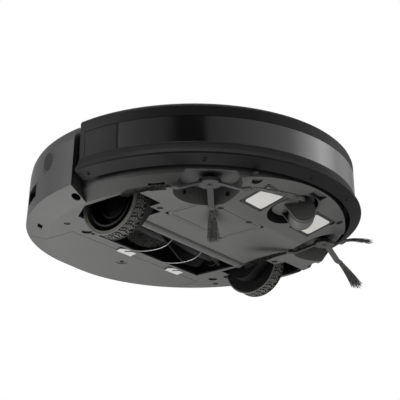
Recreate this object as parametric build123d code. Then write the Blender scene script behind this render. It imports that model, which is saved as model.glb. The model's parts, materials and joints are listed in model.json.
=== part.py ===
from build123d import *
import math
import os

# Robot vacuum. Millimetres, +Z up, the front (bumper) faces -Y, the robot's left is +X.
# The origin is the centre of the round body, on the flat rear underside.

# ---- driving dimensions -------------------------------------------------
BODY_R = 170.0            # over the bumper's crease
FLAT_R = 147.5            # edge of the flat underside
REAR_R = 168.2            # rear wall, just above the chamfer
REAR_RIM_Z = 10.8         # top of the rear chamfer
REAR_TOP_Z = 71.0         # rear deck height
FRONT_R = 153.5           # front edge of the chassis, behind the bumper
TRAY_Z = 24.0             # top edge of the lower tray
SKIN = 2.6                # moulded wall thickness
SPLIT_Y = 9.5             # where the rear wall starts
RAMP_Y = -86.0            # the underside slopes up in front of this line
RAMP_SLOPE = 0.249
RAMP_DEG = math.degrees(math.atan(RAMP_SLOPE))
GAP = 0.3                 # assembly clearance

BUMPER_R = 164.9
BUMPER_TOP_Z = 74.5
BUMPER_END_Y = 3.5
CREASE_Z = 22.7
LIP_R = 158.4
LIP_Z = 16.4
WINDOW_Z = (34.8, 60.7)
WINDOW_DEG = 76.3         # half angle of the main window, from the front
SMALL_WINDOW_DEG = (76.9, 89.0)
LIP_SCREW_DEG = (11.5, 49.0, 87.5)
LIP_SCREW_R = 163.5

WHEEL_X = 115.0
WHEEL_Y = 3.0
WHEEL_Z = 8.0             # wheel dropped, as when the robot is lifted
TYRE_R = 32.6
TYRE_W = 17.4
HUB_R = 25.0
FLANGE_R = 30.8           # dark disc on the inner side of a wheel
FLANGE_X = (104.9, 106.1)
HINGE_Y = -38.0
HINGE_Z = 28.0
PIN_R = 3.0
RUN = 0.06                # radial running clearance
ARM_X = (90.0, 104.2)
WELL = [(88, -47), (141, -47), (141, 12), (128, 41), (121, 46), (88, 46)]
WELL_TOP = 65.0
MOUTH = [(88.2, -30), (104.6, -30), (104.6, -43.5), (142.4, -43.5), (142.4, 16), (127, 39), (104.6, 39),
         (104.6, 28.5), (88.2, 28.5)]

BRUSH_Y = 30.5
BRUSH_Z = 15.5
BRUSH_X = (-85.0, 82.0)   # width of the brush opening
OPENING_Y = (3.0, 58.0)
ROLLER_R = 8.0
BRISTLE_R = 21.3
BELT_WALL_X = -73.5       # partition between roller and belt
MOTOR_Y = 58.0
MOTOR_Z = 55.0
PULLEY_R = 13.5
MOTOR_PULLEY_R = 5.4
BELT_T = 1.4

CASTER_X = 0.0
CASTER_Y = -119.0
CASTER_WELL_R = 24.5
CASTER_TRAIL = 8.5
CASTER_WHEEL_R = 12.5
CASTER_AXLE_Z = 3.5
CASTER_PIN_X = (-11.6, 11.6)
CHEEK_R = 11.6
CASTER_TURN = -142.0      # degrees the caster has swung round

HUB_X = 99.5
HUB_Y = -95.0
HUB_Z = 6.5
RECESS_R = (34.0, 27.0)
RECESS_Z = (-3.0, 14.5)
ARM_ANGLES = {"right": (34, 154, 290), "left": (130, 5, 240)}
SIDE_ARM_R = 38.0
SIDE_TIP_R = 66.0
LEG_BEND_R = 30.5         # inside this the leg slopes down, outside it runs level
LEG_Z = -2.1
LEG_W = 5.8
TUFT_TIP_Z = -8.6
SEAM = 0.45               # visible line round the bumper windows

BIN_X = 101.2
BIN_Y = 72.0
BIN_TOP = 58.0

PACK = (-66.0, -2.0, -78.0, -37.0)      # battery outline, x and y
COVER = (-84.4, 4.5, -84.0, -31.0)      # battery cover outline, x and y
CONTACT = (42.2, -115.0)
GUARD_WIRES_X = (-29.0, 19.0)
WIRE_R = 0.45
LATCH_Y = (61.1, 71.8)
COVER_SCREWS_X = (-61.5, -16.0)
LATCHES_X = (-26.5, 52.0)
SOCKET_DEG = 149.0
SOCKET_Z = 24.0
SWITCH_PIVOT_R = 0.95
CLIFF_SENSORS = ((-90.0, 147.3, 18.6, 20.0), (-155.0, 146.0, 7.6, 15.0), (-25.0, 146.0, 7.6, 15.0))
GRILLE_DEG = 162.6
GRILLE_Z = 48.0
FAN = (50.0, 36.0)        # axis of the suction fan, x and y
FAN_R = 22.5
BIN_SCREW = (-2.5, 94.0)
BUTTON_Y = -96.0
BUTTON_R = 14.0
BOARD_Z = 45.0
BOARD_POSTS = ((34, -66), (72, -60), (72, -10), (34, -10))
SERVICE_HOLES = ((-73, -128, 5.0), (58, -128, 4.0), (104.5, 52.6, 5.0), (-92, 61, 5.0))   # x, y, radius


# ---- small helpers ------------------------------------------------------
def block(x, y, z):
    """A box between pairs of x, y and z."""
    size = (x[1] - x[0], y[1] - y[0], z[1] - z[0])
    centre = ((x[0] + x[1]) / 2, (y[0] + y[1]) / 2, (z[0] + z[1]) / 2)
    return Pos(*centre) * Box(*size)


def post(r, z, x=0.0, y=0.0):
    """An upright cylinder between two heights."""
    return Pos(x, y, (z[0] + z[1]) / 2) * Cylinder(r, z[1] - z[0])


def rod_x(r, x, y, z):
    """A cylinder along X between two x."""
    return Pos((x[0] + x[1]) / 2, y, z) * Rot(0, 90, 0) * Cylinder(r, x[1] - x[0])


def turned(points):
    """A solid of revolution about Z from (radius, height) points."""
    wire = Polyline(*[(r, 0, z) for r, z in points], close=True)
    return revolve(make_face(wire), Axis.Z)


def slab(points, z):
    """An upright prism on an outline in plan."""
    face = make_face(Polyline(*[(x, y) for x, y in points], close=True))
    return Pos(0, 0, z[0]) * extrude(face, z[1] - z[0])


def slab_x(points, x):
    """A prism along X on an outline of (y, z) points."""
    face = make_face(Polyline(*[(x[0], y, z) for y, z in points], close=True))
    return extrude(face, amount=x[1] - x[0], dir=(1, 0, 0))


def link_x(a, b, ra, rb, x):
    """Two discs of different size joined by their tangents, thick along X."""
    dy, dz = b[0] - a[0], b[1] - a[1]
    span = math.hypot(dy, dz)
    lean = math.atan2(dz, dy)
    open_angle = math.acos((ra - rb) / span)
    corners = []
    for centre, r, side in ((a, ra, 1), (b, rb, 1), (b, rb, -1), (a, ra, -1)):
        t = lean + side * open_angle
        corners.append((centre[0] + r * math.cos(t), centre[1] + r * math.sin(t)))
    return slab_x(corners, x) + rod_x(ra, x, *a) + rod_x(rb, x, *b)


def ramp_z(y):
    """Height of the sloping front underside."""
    return max(0.0, (RAMP_Y - y) * RAMP_SLOPE)


def on_ramp(x, y):
    """A frame on the sloping underside, its local Z into the body."""
    return Pos(x, y, ramp_z(y)) * Rot(-RAMP_DEG, 0, 0)


def at_angle(deg, r, z):
    """A frame on the round wall, its local X pointing outwards."""
    a = math.radians(deg)
    return Pos(r * math.cos(a), r * math.sin(a), z) * Rot(0, 0, deg)


def mirrored(side):
    """+1 for the robot's left, -1 for its right."""
    return 1 if side == "left" else -1


def flip(shape, side):
    """The shape as made for the left, or its mirror for the right."""
    return shape if side == "left" else mirror(shape, Plane.YZ)


def rear_half(y):
    """Everything behind a line."""
    return block((-200, 200), (y, 200), (-50, 120))


def front_half(y):
    """Everything in front of a line."""
    return block((-200, 200), (-200, y), (-50, 120))


def bin_space(gap, top):
    """The dustbin's bay, grown by a gap."""
    return block((-BIN_X - gap, BIN_X + gap), (BIN_Y - gap, 200), (-5, top))


# ---- casings ------------------------------------------------------------
def tray_outside():
    """Outer form of the lower tray."""
    rear = turned([(0, 0), (FLAT_R, 0), (REAR_R, REAR_RIM_Z), (REAR_R - 3.2, REAR_RIM_Z),
                   (REAR_R - 3.2, TRAY_Z), (0, TRAY_Z)])
    front = turned([(0, 0), (FLAT_R, 0), (FRONT_R, 11), (FRONT_R, TRAY_Z), (0, TRAY_Z)])
    body = front + (rear & rear_half(SPLIT_Y))
    run = 110
    return body - slab_x([(RAMP_Y, 0), (RAMP_Y - run, run * RAMP_SLOPE), (RAMP_Y - run, -5), (RAMP_Y, -5)],
                         (-200, 200))


def tray_inside():
    """Inner form of the lower tray, up and in by the skin."""
    high = TRAY_Z + 6
    rear = turned([(0, SKIN), (146.4, SKIN), (162.4, 10.9), (162.4, high), (0, high)])
    front = turned([(0, SKIN), (146, SKIN), (150.9, 11.6), (150.9, high), (0, high)])
    hollow = front + (rear & rear_half(SPLIT_Y + SKIN))
    run = 110
    start = RAMP_Y + 1
    return hollow - slab_x([(start, SKIN), (start - run, SKIN + run * RAMP_SLOPE),
                            (start - run, -5), (start, -5)], (-200, 200))


def recess(side, grow):
    """Dished recess round a side brush, grown by a wall thickness."""
    x = mirrored(side) * HUB_X
    cone = Pos(x, HUB_Y, (RECESS_Z[0] + RECESS_Z[1]) / 2) * Cone(
        RECESS_R[0] + grow, RECESS_R[1] + grow, RECESS_Z[1] - RECESS_Z[0])
    if grow:
        cone += post(RECESS_R[1] + grow, (RECESS_Z[1] - 1, RECESS_Z[1] + grow), x, HUB_Y)
    return cone


def recess_pockets(side):
    """Two blind round pockets in the wall of a side brush recess."""
    pockets = Rot(0, 0, 87) * Pos(27.5, 0, 8) * Rot(0, 90, 0) * Cylinder(2.4, 7)
    pockets += Rot(0, 0, 3) * Pos(27.5, 0, 8) * Rot(0, 90, 0) * Cylinder(2.4, 7)
    return flip(Pos(HUB_X, HUB_Y, 0) * Rot(0, 0, 90) * pockets, side)


def well(side, grow, z):
    """Plan of a wheel well, grown outwards."""
    plan = Polyline(*WELL, close=True)
    face = make_face(plan)
    if grow:
        face = offset(face, grow, kind=Kind.INTERSECTION)
    return flip(Pos(0, 0, z[0]) * extrude(face, z[1] - z[0]), side)


def cover_corner(gap):
    """The side brush recess where it cuts the corner of the battery cover."""
    return recess("right", 2.2 + gap)


def screw_seats():
    """Places of the screws that show in the underside: x, y."""
    return [(-96.4, -35.5), (96.4, -35.5), (-84, -134), (65, -133), (-120, 60), (120, 60)]


def lower_chassis():
    """The underside tray with all its wells and openings."""
    outside = tray_outside()
    shell = outside - tray_inside()
    for side in ("left", "right"):
        shell += recess(side, 2.2) & outside
    shell += post(CASTER_WELL_R + 2.4, (0, 22), CASTER_X, CASTER_Y) & outside
    for side in ("left", "right"):
        shell -= recess(side, 0)
        shell -= post(4.2, (5, 30), mirrored(side) * HUB_X, HUB_Y)
        shell -= recess_pockets(side)
        shell -= well(side, 0, (SKIN + 0.2, 40))
        shell -= flip(slab(MOUTH, (-5, SKIN + 0.3)), side)
    shell -= post(CASTER_WELL_R, (-5, 30), CASTER_X, CASTER_Y)
    shell -= block(BRUSH_X, OPENING_Y, (-5, 30))
    shell -= block(COVER[:2], COVER[2:], (-5, SKIN + 1)) - cover_corner(0)
    shell -= bin_space(0.6, 80)
    for sx in (-1, 1):
        frame = on_ramp(sx * CONTACT[0], CONTACT[1])
        shell -= frame * block((-17, 17), (-17, 17), (-2, 1.2))
        shell -= frame * block((-12, 12), (-12, 12), (0, 6))
    for x, y in screw_seats():
        shell -= post(3.2, (-2, ramp_z(y) + 1.6), x, y)
    for x, y, r in SERVICE_HOLES:
        shell -= post(r, (-2, ramp_z(y) + 1.8), x, y)
    shell -= at_angle(174.5, 156.0, 4.4) * Rot(0, -27.5, 0) * Cylinder(4.6, 7)
    shell -= at_angle(143.0, 155.3, 4.1) * Rot(0, -27.5, 0) * Box(5, 9, 7)
    for deg, r, z, width in CLIFF_SENSORS:
        shell -= at_angle(deg, r, z - 8) * Box(7.4, width + 0.4, 24.4)
    shell -= at_angle(SOCKET_DEG, 162, SOCKET_Z + 4.5) * Box(20, 34.6, 17.8)
    for x, y in BOARD_POSTS:
        shell += post(3.2, (SKIN - 0.1, BOARD_Z - 0.2), x, y)
    return shell


def body_shell():
    """Side wall of the body: rear wall outside, front wall behind the bumper."""
    top = REAR_TOP_Z
    rear = turned([(REAR_R, REAR_RIM_Z), (166.4, 58), (165.2, 65.5), (163.6, 68.8), (160.4, top), (153.7, top),
                   (153.7, 68.4), (158.6, 68.4), (161.6, 65.4), (163.4, 58), (165.3, TRAY_Z + 1),
                   (165.3, REAR_RIM_Z)])
    front = turned([(FRONT_R, TRAY_Z), (FRONT_R, 68.4), (150.9, 68.4), (150.9, TRAY_Z)])
    shell = (rear & rear_half(SPLIT_Y)) + (front & front_half(SPLIT_Y + SKIN))
    web = turned([(151, TRAY_Z), (165.0, TRAY_Z), (163.4, 58), (161.6, 65.4), (158.6, 68.5), (151, 68.4)])
    shell += web & block((-200, 200), (SPLIT_Y, SPLIT_Y + SKIN), (0, 100))
    shell -= bin_space(0.6, BIN_TOP + 2.6)
    shell -= at_angle(SOCKET_DEG, 166, SOCKET_Z + 4.5) * Box(16, 33.0, 16.6)
    shell -= at_angle(GRILLE_DEG, 165, GRILLE_Z) * Rot(0, 90, 0) * Cylinder(11.2, 12)
    return shell + socket_panel()


def top_cover():
    """The flat round deck, with the button's hole."""
    deck = post(153.3, (68.7, 70.2)) + turned([(0, 70.1), (152.8, 70.1), (151.6, 71.4), (0, 71.4)])
    deck -= turned([(118, 70.9), (119.2, 70.9), (119.2, 80), (118, 80)])
    return deck - post(BUTTON_R + GAP, (60, 80), 0, BUTTON_Y)


def start_button():
    """Round push button in the deck."""
    cap = post(BUTTON_R, (69.5, 72.0), 0, BUTTON_Y) - post(9.0, (71.6, 73), 0, BUTTON_Y)
    return fillet(cap.edges().filter_by(GeomType.CIRCLE).sort_by(Axis.Z)[-2:-1], 0.3) + post(
        5.0, (67.8, 69.6), 0, BUTTON_Y)


def battery_cover():
    """Door of the battery bay, with a thin moulded line inside its edge."""
    x0, x1, y0, y1 = COVER
    plate = block((x0 + GAP, x1 - GAP), (y0 + GAP, y1 - GAP), (0, SKIN))
    plate = fillet(plate.edges().filter_by(Axis.Z), 8)
    outer = block((x0 + 3.6, x1 - 3.6), (y0 + 3.6, y1 - 3.6), (-1, 0.5))
    line = fillet(outer.edges().filter_by(Axis.Z), 5) - block((x0 + 4.3, x1 - 4.3), (y0 + 4.3, y1 - 4.3), (-2, 1))
    plate -= line
    for x in COVER_SCREWS_X:
        plate -= post(3.1, (-1, 1.6), x, y0 + 4.5)
    return plate - cover_corner(GAP)


def battery_pack():
    """Two by two cells in a shrink sleeve."""
    x0, x1, y0, y1 = PACK
    body = block((x0, x1), (y0, y1), (3.2, 24.2))
    return fillet(body.edges().filter_by(Axis.X), 8)


def charging_contacts():
    """Two sprung charging plates on the slope."""
    plates = []
    for sx in (-1, 1):
        frame = on_ramp(sx * CONTACT[0], CONTACT[1])
        plate = block((-13.5, 13.5), (-13.5, 13.5), (-0.3, 0.5))
        plate = fillet(plate.edges().filter_by(Axis.Z), 3)
        plates.append(frame * (plate + block((-5, 5), (-5, 5), (0.4, 5))))
    return plates


def contact_frames():
    """Ribbed surrounds of the charging plates."""
    frames = []
    for sx in (-1, 1):
        frame = on_ramp(sx * CONTACT[0], CONTACT[1])
        rim = block((-16.8, 16.8), (-16.8, 16.8), (0.1, 1.1))
        rim = fillet(rim.edges().filter_by(Axis.Z), 4) - block((-13.8, 13.8), (-13.8, 13.8), (-1, 2))
        frames.append(frame * rim)
    return frames


# ---- bumper -------------------------------------------------------------
def bumper_band(points):
    """A turned band cut off at the bumper's two ends."""
    return turned(points) & front_half(BUMPER_END_Y)


def window_band(z, depth):
    """Ring from which the windows and their seats are cut."""
    return turned([(BUMPER_R - depth, z[0]), (BUMPER_R + 0.05, z[0]), (BUMPER_R + 0.05, z[1]),
                   (BUMPER_R - depth, z[1])])


def sector(from_deg, to_deg):
    """A wedge of the round body between two angles, measured from the front."""
    a, b = math.radians(from_deg - 90), math.radians(to_deg - 90)
    n = max(2, int((to_deg - from_deg) / 20) + 1)
    rim = [(300 * math.cos(a + (b - a) * i / n), 300 * math.sin(a + (b - a) * i / n)) for i in range(n + 1)]
    return slab([(0, 0)] + rim, (-20, 120))


def bumper_shell():
    """Outer bumper skin, from the crease up to its rounded top."""
    skin = bumper_band([(BODY_R, CREASE_Z + 0.3), (169.9, CREASE_Z + 1.2), (167.4, 28.5), (165.7, 33),
                        (BUMPER_R, 36), (BUMPER_R, 70.6), (164.2, 72.6), (162.8, 74.0), (160.8, BUMPER_TOP_Z),
                        (LIP_R, BUMPER_TOP_Z), (LIP_R, 72.2), (161.3, 71.9), (162.2, 70), (162.2, 36),
                        (163.2, 32), (166.0, 26.2), (166.0, CREASE_Z + 0.3)])
    for a, b in window_spans():
        skin -= window_band((WINDOW_Z[0] - SEAM, WINDOW_Z[1] + SEAM), 1.4) & sector(a - 0.15, b + 0.15)
    return skin


def window_spans():
    """Angles of the main window and the two small end windows."""
    a, b = SMALL_WINDOW_DEG
    return [(-WINDOW_DEG, WINDOW_DEG), (-b, -a), (a, b)]


def bumper_window(spans):
    """Dark infra-red windows let into the bumper."""
    return [window_band(WINDOW_Z, 1.2) & sector(a, b) for a, b in spans]


def bumper_lip():
    """Lower trim that turns in under the body."""
    lip = bumper_band([(LIP_R, LIP_Z), (169.7, CREASE_Z - 0.5), (169.9, CREASE_Z), (166.0, CREASE_Z),
                       (165.4, CREASE_Z - 0.6), (LIP_R, LIP_Z + 2.4)])
    for x, y in lip_screw_places():
        lip -= post(1.0, (0, 40), x, y) + post(1.9, (0, 20.0), x, y)
    return lip


def lip_screw_places():
    """Plan positions of the bumper's screws."""
    angles = [-90 + s * d for d in LIP_SCREW_DEG for s in (-1, 1)]
    return [(LIP_SCREW_R * math.cos(math.radians(a)), LIP_SCREW_R * math.sin(math.radians(a))) for a in angles]


def screw(x, y, z, head=2.6, length=6.0):
    """Cross-head screw, head down."""
    body = post(head, (z, z + 0.9), x, y) + post(head * 0.5, (z + 0.8, z + length), x, y)
    slot = block((x - 1.5, x + 1.5), (y - 0.3, y + 0.3), (z - 1, z + 0.6))
    return body - slot - Pos(x, y, 0) * Rot(0, 0, 90) * Pos(-x, -y, 0) * slot


def bumper_screws():
    """Screws that hold the lower trim."""
    return [screw(x, y, 19.0, 1.7, 3.2) for x, y in lip_screw_places()]


def bumper_springs():
    """Two coil springs that push the bumper forward again."""
    coils = []
    for x in (-60, 60):
        inner = math.sqrt(FRONT_R ** 2 - x ** 2)
        outer = math.sqrt(162.2 ** 2 - (abs(x) + 3) ** 2)
        free = outer - inner - 2.4
        path = Helix(pitch=free / 5, height=free, radius=2.2)
        coil = sweep(Plane(origin=path @ 0, z_dir=path % 0) * Circle(0.35), path=path)
        coils.append(Pos(x, -inner - 1.6, 44) * Rot(90, 0, 0) * coil)
    return coils


# ---- drive wheels -------------------------------------------------------
def wheel_housing(side):
    """Moulded box over a wheel, open underneath."""
    box = well(side, 1.4, (SKIN + 0.2, WELL_TOP)) - well(side, 0.0, (-1, WELL_TOP - 1.6))
    pin = flip(rod_x(PIN_R, (86, 145), HINGE_Y, HINGE_Z), side)
    return (box & tray_space()) - pin


def tray_space():
    """Room inside the tray and shell for what stands in them."""
    return turned([(0, SKIN + 0.1), (145.6, SKIN + 0.1), (150.5, 11.8), (150.5, 68.2), (0, 68.2)])


def hinge_pin(side):
    """Steel pin of the suspension arm."""
    return flip(rod_x(PIN_R, (86.8, 142.2), HINGE_Y, HINGE_Z), side)


def wheel_arm(side):
    """Gearbox case that carries the wheel and swings on the hinge pin."""
    a, b = (HINGE_Y, HINGE_Z), (WHEEL_Y, WHEEL_Z)
    case = link_x(a, b, 8.6, 20.5, ARM_X)
    case -= link_x(a, b, 5.5, 18.7, (ARM_X[0] + 1.8, ARM_X[1] + 1)) - rod_x(6.6, ARM_X, *a)
    case -= rod_x(PIN_R + RUN, (80, 120), *a)
    case -= rod_x(PIN_R + RUN, (80, 120), *b)
    return flip(case, side)


def arm_cover(side):
    """Outer lid of the gearbox case."""
    a, b = (HINGE_Y, HINGE_Z), (WHEEL_Y, WHEEL_Z)
    lid = link_x(a, b, 5.3, 18.5, (ARM_X[1] - 1.6, ARM_X[1])) - rod_x(6.8, (100, 110), *a)
    lid -= rod_x(PIN_R + RUN, (80, 120), *b)
    return flip(lid, side)


def wheel_motor(side):
    """Small drive motor lying in the gearbox case."""
    dy, dz = WHEEL_Y - HINGE_Y, WHEEL_Z - HINGE_Z
    lean = math.degrees(math.atan2(dz, dy))
    body = Cylinder(4.6, 15) + Pos(0, 0, -8.8) * Cylinder(1.6, 3)
    mid = (HINGE_Y + 0.42 * dy, HINGE_Z + 0.42 * dz)
    return flip(Pos(97.0, *mid) * Rot(-90 + lean, 0, 0) * body, side)


def wheel_hub(side):
    """Deep-dished wheel centre with its inner flange, axle, and the gear inside the case."""
    x0, x1 = WHEEL_X - TYRE_W / 2 + 0.6, WHEEL_X + TYRE_W / 2 - 1.0
    hub = rod_x(HUB_R, (x0, x1), WHEEL_Y, WHEEL_Z)
    hub -= rod_x(HUB_R - 2.0, (x0 + 2.6, x1 + 1), WHEEL_Y, WHEEL_Z)
    hub += rod_x(16.0, (x0, x1 - 4.5), WHEEL_Y, WHEEL_Z) - rod_x(13.6, (x1 - 7, x1), WHEEL_Y, WHEEL_Z)
    hub += rod_x(5.0, (x0, x1 - 5.5), WHEEL_Y, WHEEL_Z)
    hub += rod_x(FLANGE_R, FLANGE_X, WHEEL_Y, WHEEL_Z) + rod_x(HUB_R, (FLANGE_X[0], x0 + 1), WHEEL_Y, WHEEL_Z)
    hub += rod_x(PIN_R, (92.5, x0 + 1), WHEEL_Y, WHEEL_Z)
    hub += rod_x(13.0, (93.2, 96.4), WHEEL_Y, WHEEL_Z)
    return flip(hub, side)


def tyre(side):
    """Rubber tyre with rounded shoulders."""
    x0, x1 = WHEEL_X - TYRE_W / 2, WHEEL_X + TYRE_W / 2
    ring = rod_x(TYRE_R, (x0, x1), WHEEL_Y, WHEEL_Z)
    ring = fillet(ring.edges().filter_by(GeomType.CIRCLE), 2.0)
    return flip(ring - rod_x(HUB_R, (x0 - 1, x1 + 1), WHEEL_Y, WHEEL_Z), side)


def suspension_spring(side):
    """Torsion spring round the hinge pin."""
    path = Helix(pitch=1.9, height=13.3, radius=4.6)
    coil = sweep(Plane(origin=path @ 0, z_dir=path % 0) * Circle(0.7), path=path)
    return flip(Pos(106.5, HINGE_Y, HINGE_Z) * Rot(0, 90, 0) * coil, side)


# ---- caster -------------------------------------------------------------
def caster_frame(shape):
    """Swing a caster piece to its parked angle."""
    return Pos(CASTER_X, CASTER_Y, 0) * Rot(0, 0, CASTER_TURN) * shape


def caster_housing():
    """Socket cup over the caster, with the stem's bore."""
    cup = post(CASTER_WELL_R + 1.6, (22.3, 33)) - post(CASTER_WELL_R, (20, 31))
    cup += post(6.5, (30.9, 43)) - post(PIN_R + RUN, (0, 41.5))
    return Pos(CASTER_X, CASTER_Y, 0) * (cup - post(PIN_R + RUN, (0, 41.5)))


def caster_fork():
    """Domed fork with its swivel stem."""
    hood = turned([(0, 9), (19.5, 9), (21.5, 12), (21.5, 19), (17, 25), (0, 27.5)])
    hood -= block((-30, 30), (4, 30), (0, 17))
    fork = hood + post(PIN_R, (27, 41))
    for x in (-11.2, 11.2):
        cheek = (x - 1.3, x + 1.3)
        fork += link_x((0, 14), (CASTER_TRAIL, CASTER_AXLE_Z), 10.5, CHEEK_R, cheek)
    fork -= rod_x(CASTER_WHEEL_R + 1.0, (-9.9, 9.9), CASTER_TRAIL, CASTER_AXLE_Z)
    return caster_frame(fork - rod_x(1.5, CASTER_PIN_X, CASTER_TRAIL, CASTER_AXLE_Z))


def caster_axle():
    """Steel pin held blind between the fork's cheeks."""
    return caster_frame(rod_x(1.5, CASTER_PIN_X, CASTER_TRAIL, CASTER_AXLE_Z))


def caster_wheel():
    """Smooth two-tone roller of the caster."""
    wheel = rod_x(CASTER_WHEEL_R, (-9.0, 9.0), CASTER_TRAIL, CASTER_AXLE_Z)
    wheel = fillet(wheel.edges().filter_by(GeomType.CIRCLE), 2.4)
    return caster_frame(wheel - rod_x(1.5 + RUN, (-12, 12), CASTER_TRAIL, CASTER_AXLE_Z))


# ---- side brushes -------------------------------------------------------
def side_motor(side):
    """Gear motor of a side brush, set inwards of the brush's shaft."""
    hub_deg = math.degrees(math.atan2(HUB_Y, mirrored(side) * HUB_X))
    case = post(5.6, (17.4, 24), 0, 0) + block((-16, 0), (-5.6, 5.6), (17.4, 24))
    case += post(10.5, (17.4, 38), -17, 0)
    case -= post(2.5 + RUN, (10, 26))
    return at_angle(hub_deg, math.hypot(HUB_X, HUB_Y), 0) * case


def side_hub(side):
    """Brush centre, its shaft and three cranked rubber legs."""
    x = mirrored(side) * HUB_X
    hub = post(10.5, (HUB_Z, HUB_Z + 3.4), x, HUB_Y) + post(2.5, (HUB_Z + 3, 25), x, HUB_Y)
    start_r, start_z = 6.0, HUB_Z + 1.8
    slope = math.degrees(math.atan2(start_z - LEG_Z, LEG_BEND_R - start_r))
    run = math.hypot(start_z - LEG_Z, LEG_BEND_R - start_r)
    for angle in ARM_ANGLES[side]:
        leg = Pos(start_r, 0, start_z) * Rot(0, slope, 0) * Pos(run / 2, 0, 0) * Box(run + 0.6, LEG_W, 2.0)
        leg += block((LEG_BEND_R - 0.4, SIDE_ARM_R), (-LEG_W / 2, LEG_W / 2), (LEG_Z - 1, LEG_Z + 1))
        hub += Pos(x, HUB_Y, 0) * Rot(0, 0, angle) * leg
    return hub - post(2.8, (HUB_Z - 5, HUB_Z + 1.3), x, HUB_Y)


def side_bristles(side):
    """One tapering tuft at the end of each leg."""
    x = mirrored(side) * HUB_X
    tufts = []
    for angle in ARM_ANGLES[side]:
        start = Plane(origin=(SIDE_ARM_R - 0.4, 0, LEG_Z), z_dir=(1, 0, -0.23)) * Rectangle(1.8, 5.2)
        end = Plane(origin=(SIDE_TIP_R, 0, TUFT_TIP_Z), z_dir=(1, 0, -0.23)) * Rectangle(1.4, 9)
        tufts.append(Pos(x, HUB_Y, 0) * Rot(0, 0, angle) * loft([start, end]))
    return tufts


def side_brush(side):
    """Hub with its legs, three tufts and the centre screw."""
    centre = screw(mirrored(side) * HUB_X, HUB_Y, HUB_Z, 2.6, 1.25)
    return [side_hub(side)] + side_bristles(side) + [centre]


# ---- main brush ---------------------------------------------------------
def brush_housing():
    """Tunnel over the roller, with the belt case at its drive end."""
    x0, x1 = BRUSH_X[0] + GAP, BRUSH_X[1] - GAP
    y0, y1 = OPENING_Y[0] + GAP, OPENING_Y[1] - GAP
    outer = block((x0, x1), (y0, y1), (0, BRUSH_Z)) + rod_x((y1 - y0) / 2, (x0, x1), BRUSH_Y, BRUSH_Z)
    inner_r = (y1 - y0) / 2 - 2.2
    room = (BELT_WALL_X + 1.6, x1 - 2.4)
    tunnel = outer - block(room, (y0 + 2.2, y1 - 2.2), (-5, BRUSH_Z)) - rod_x(inner_r, room, BRUSH_Y, BRUSH_Z)
    case_x = (x0, BELT_WALL_X)
    case = link_x((BRUSH_Y, BRUSH_Z), (MOTOR_Y, MOTOR_Z), 20, 12, case_x)
    tunnel += case & block((-100, 100), (0, 100), (0, 100))
    tunnel -= link_x((BRUSH_Y, BRUSH_Z), (MOTOR_Y, MOTOR_Z), 18, 10, (x0 + 1.9, BELT_WALL_X - 1.6)) & block(
        (-100, 100), (0, 100), (-5, 100))
    tunnel = tunnel & block((-100, 100), (0, 100), (0, 100))
    tunnel += block((-52, 42), (52, 71.2), (18.5, 43.0)) - rod_x(inner_r + 1, (-60, 60), BRUSH_Y, BRUSH_Z)
    tunnel -= block((-50, 40), (44, 72), (20.5, 41.0))
    tunnel -= rod_x(4.1, (BELT_WALL_X - 3, BELT_WALL_X + 3), BRUSH_Y, BRUSH_Z)
    tunnel -= rod_x(3.1, (BELT_WALL_X - 3, BELT_WALL_X + 3), MOTOR_Y, MOTOR_Z)
    return tunnel - rod_x(5.0, (x1 - 4, x1 + 1), BRUSH_Y, BRUSH_Z)


def roller_core():
    """Plastic core of the main brush, with its drive shaft."""
    core = rod_x(ROLLER_R, (-70.5, 74.5), BRUSH_Y, BRUSH_Z)
    core += rod_x(12.5, (-70.5, -68.5), BRUSH_Y, BRUSH_Z) + rod_x(12.5, (72.5, 74.5), BRUSH_Y, BRUSH_Z)
    core += rod_x(3.2, (-77.2, -70), BRUSH_Y, BRUSH_Z)
    return core + rod_x(3.0, (74, 80.9), BRUSH_Y, BRUSH_Z)


def helix_fin(start_deg, r, t, x0, x1, twist):
    """One straight-sided fin wound round the roller."""
    mid = (ROLLER_R - 0.6 + r) / 2
    section = Pos(mid, 0, 0) * Rectangle(r - ROLLER_R + 0.6, t)
    fin = Solid.extrude_linear_with_rotation(
        (Rot(0, 0, start_deg) * section).face(), (0, 0, 0), (0, 0, x1 - x0), twist)
    return Pos(x0, BRUSH_Y, BRUSH_Z) * Rot(0, 90, 0) * fin


def roller_rows(offset_deg, r, t):
    """Two fins opposite each other."""
    return [helix_fin(offset_deg + 180 * i, r, t, -67.5, 71.5, 150) for i in range(2)]


def roller_bearing():
    """Bush in the tunnel's end wall that carries the roller's free end."""
    x1 = BRUSH_X[1] - GAP
    bush = rod_x(5.0, (x1 - 2.4, x1), BRUSH_Y, BRUSH_Z) + rod_x(6.4, (x1 - 4.4, x1 - 2.4), BRUSH_Y, BRUSH_Z)
    return bush - rod_x(3.0 + RUN, (x1 - 6, x1 - 0.6), BRUSH_Y, BRUSH_Z)


def brush_pulley():
    """Large belt pulley on the roller's shaft."""
    x = (-82.0, -77.4)
    return rod_x(PULLEY_R, x, BRUSH_Y, BRUSH_Z) + rod_x(3.2, (-77.5, -77.2), BRUSH_Y, BRUSH_Z)


def motor_pulley():
    """Small belt pulley on the brush motor."""
    return rod_x(MOTOR_PULLEY_R, (-82.0, -77.4), MOTOR_Y, MOTOR_Z) + rod_x(
        2.0, (-77.5, -66.0), MOTOR_Y, MOTOR_Z)


def drive_belt():
    """Flat belt round both pulleys."""
    x = (-82.0, -77.5)
    a, b = (BRUSH_Y, BRUSH_Z), (MOTOR_Y, MOTOR_Z)
    return link_x(a, b, PULLEY_R + RUN + BELT_T, MOTOR_PULLEY_R + RUN + BELT_T, x) - link_x(
        a, b, PULLEY_R + RUN, MOTOR_PULLEY_R + RUN, (x[0] - 1, x[1] + 1))


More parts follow.
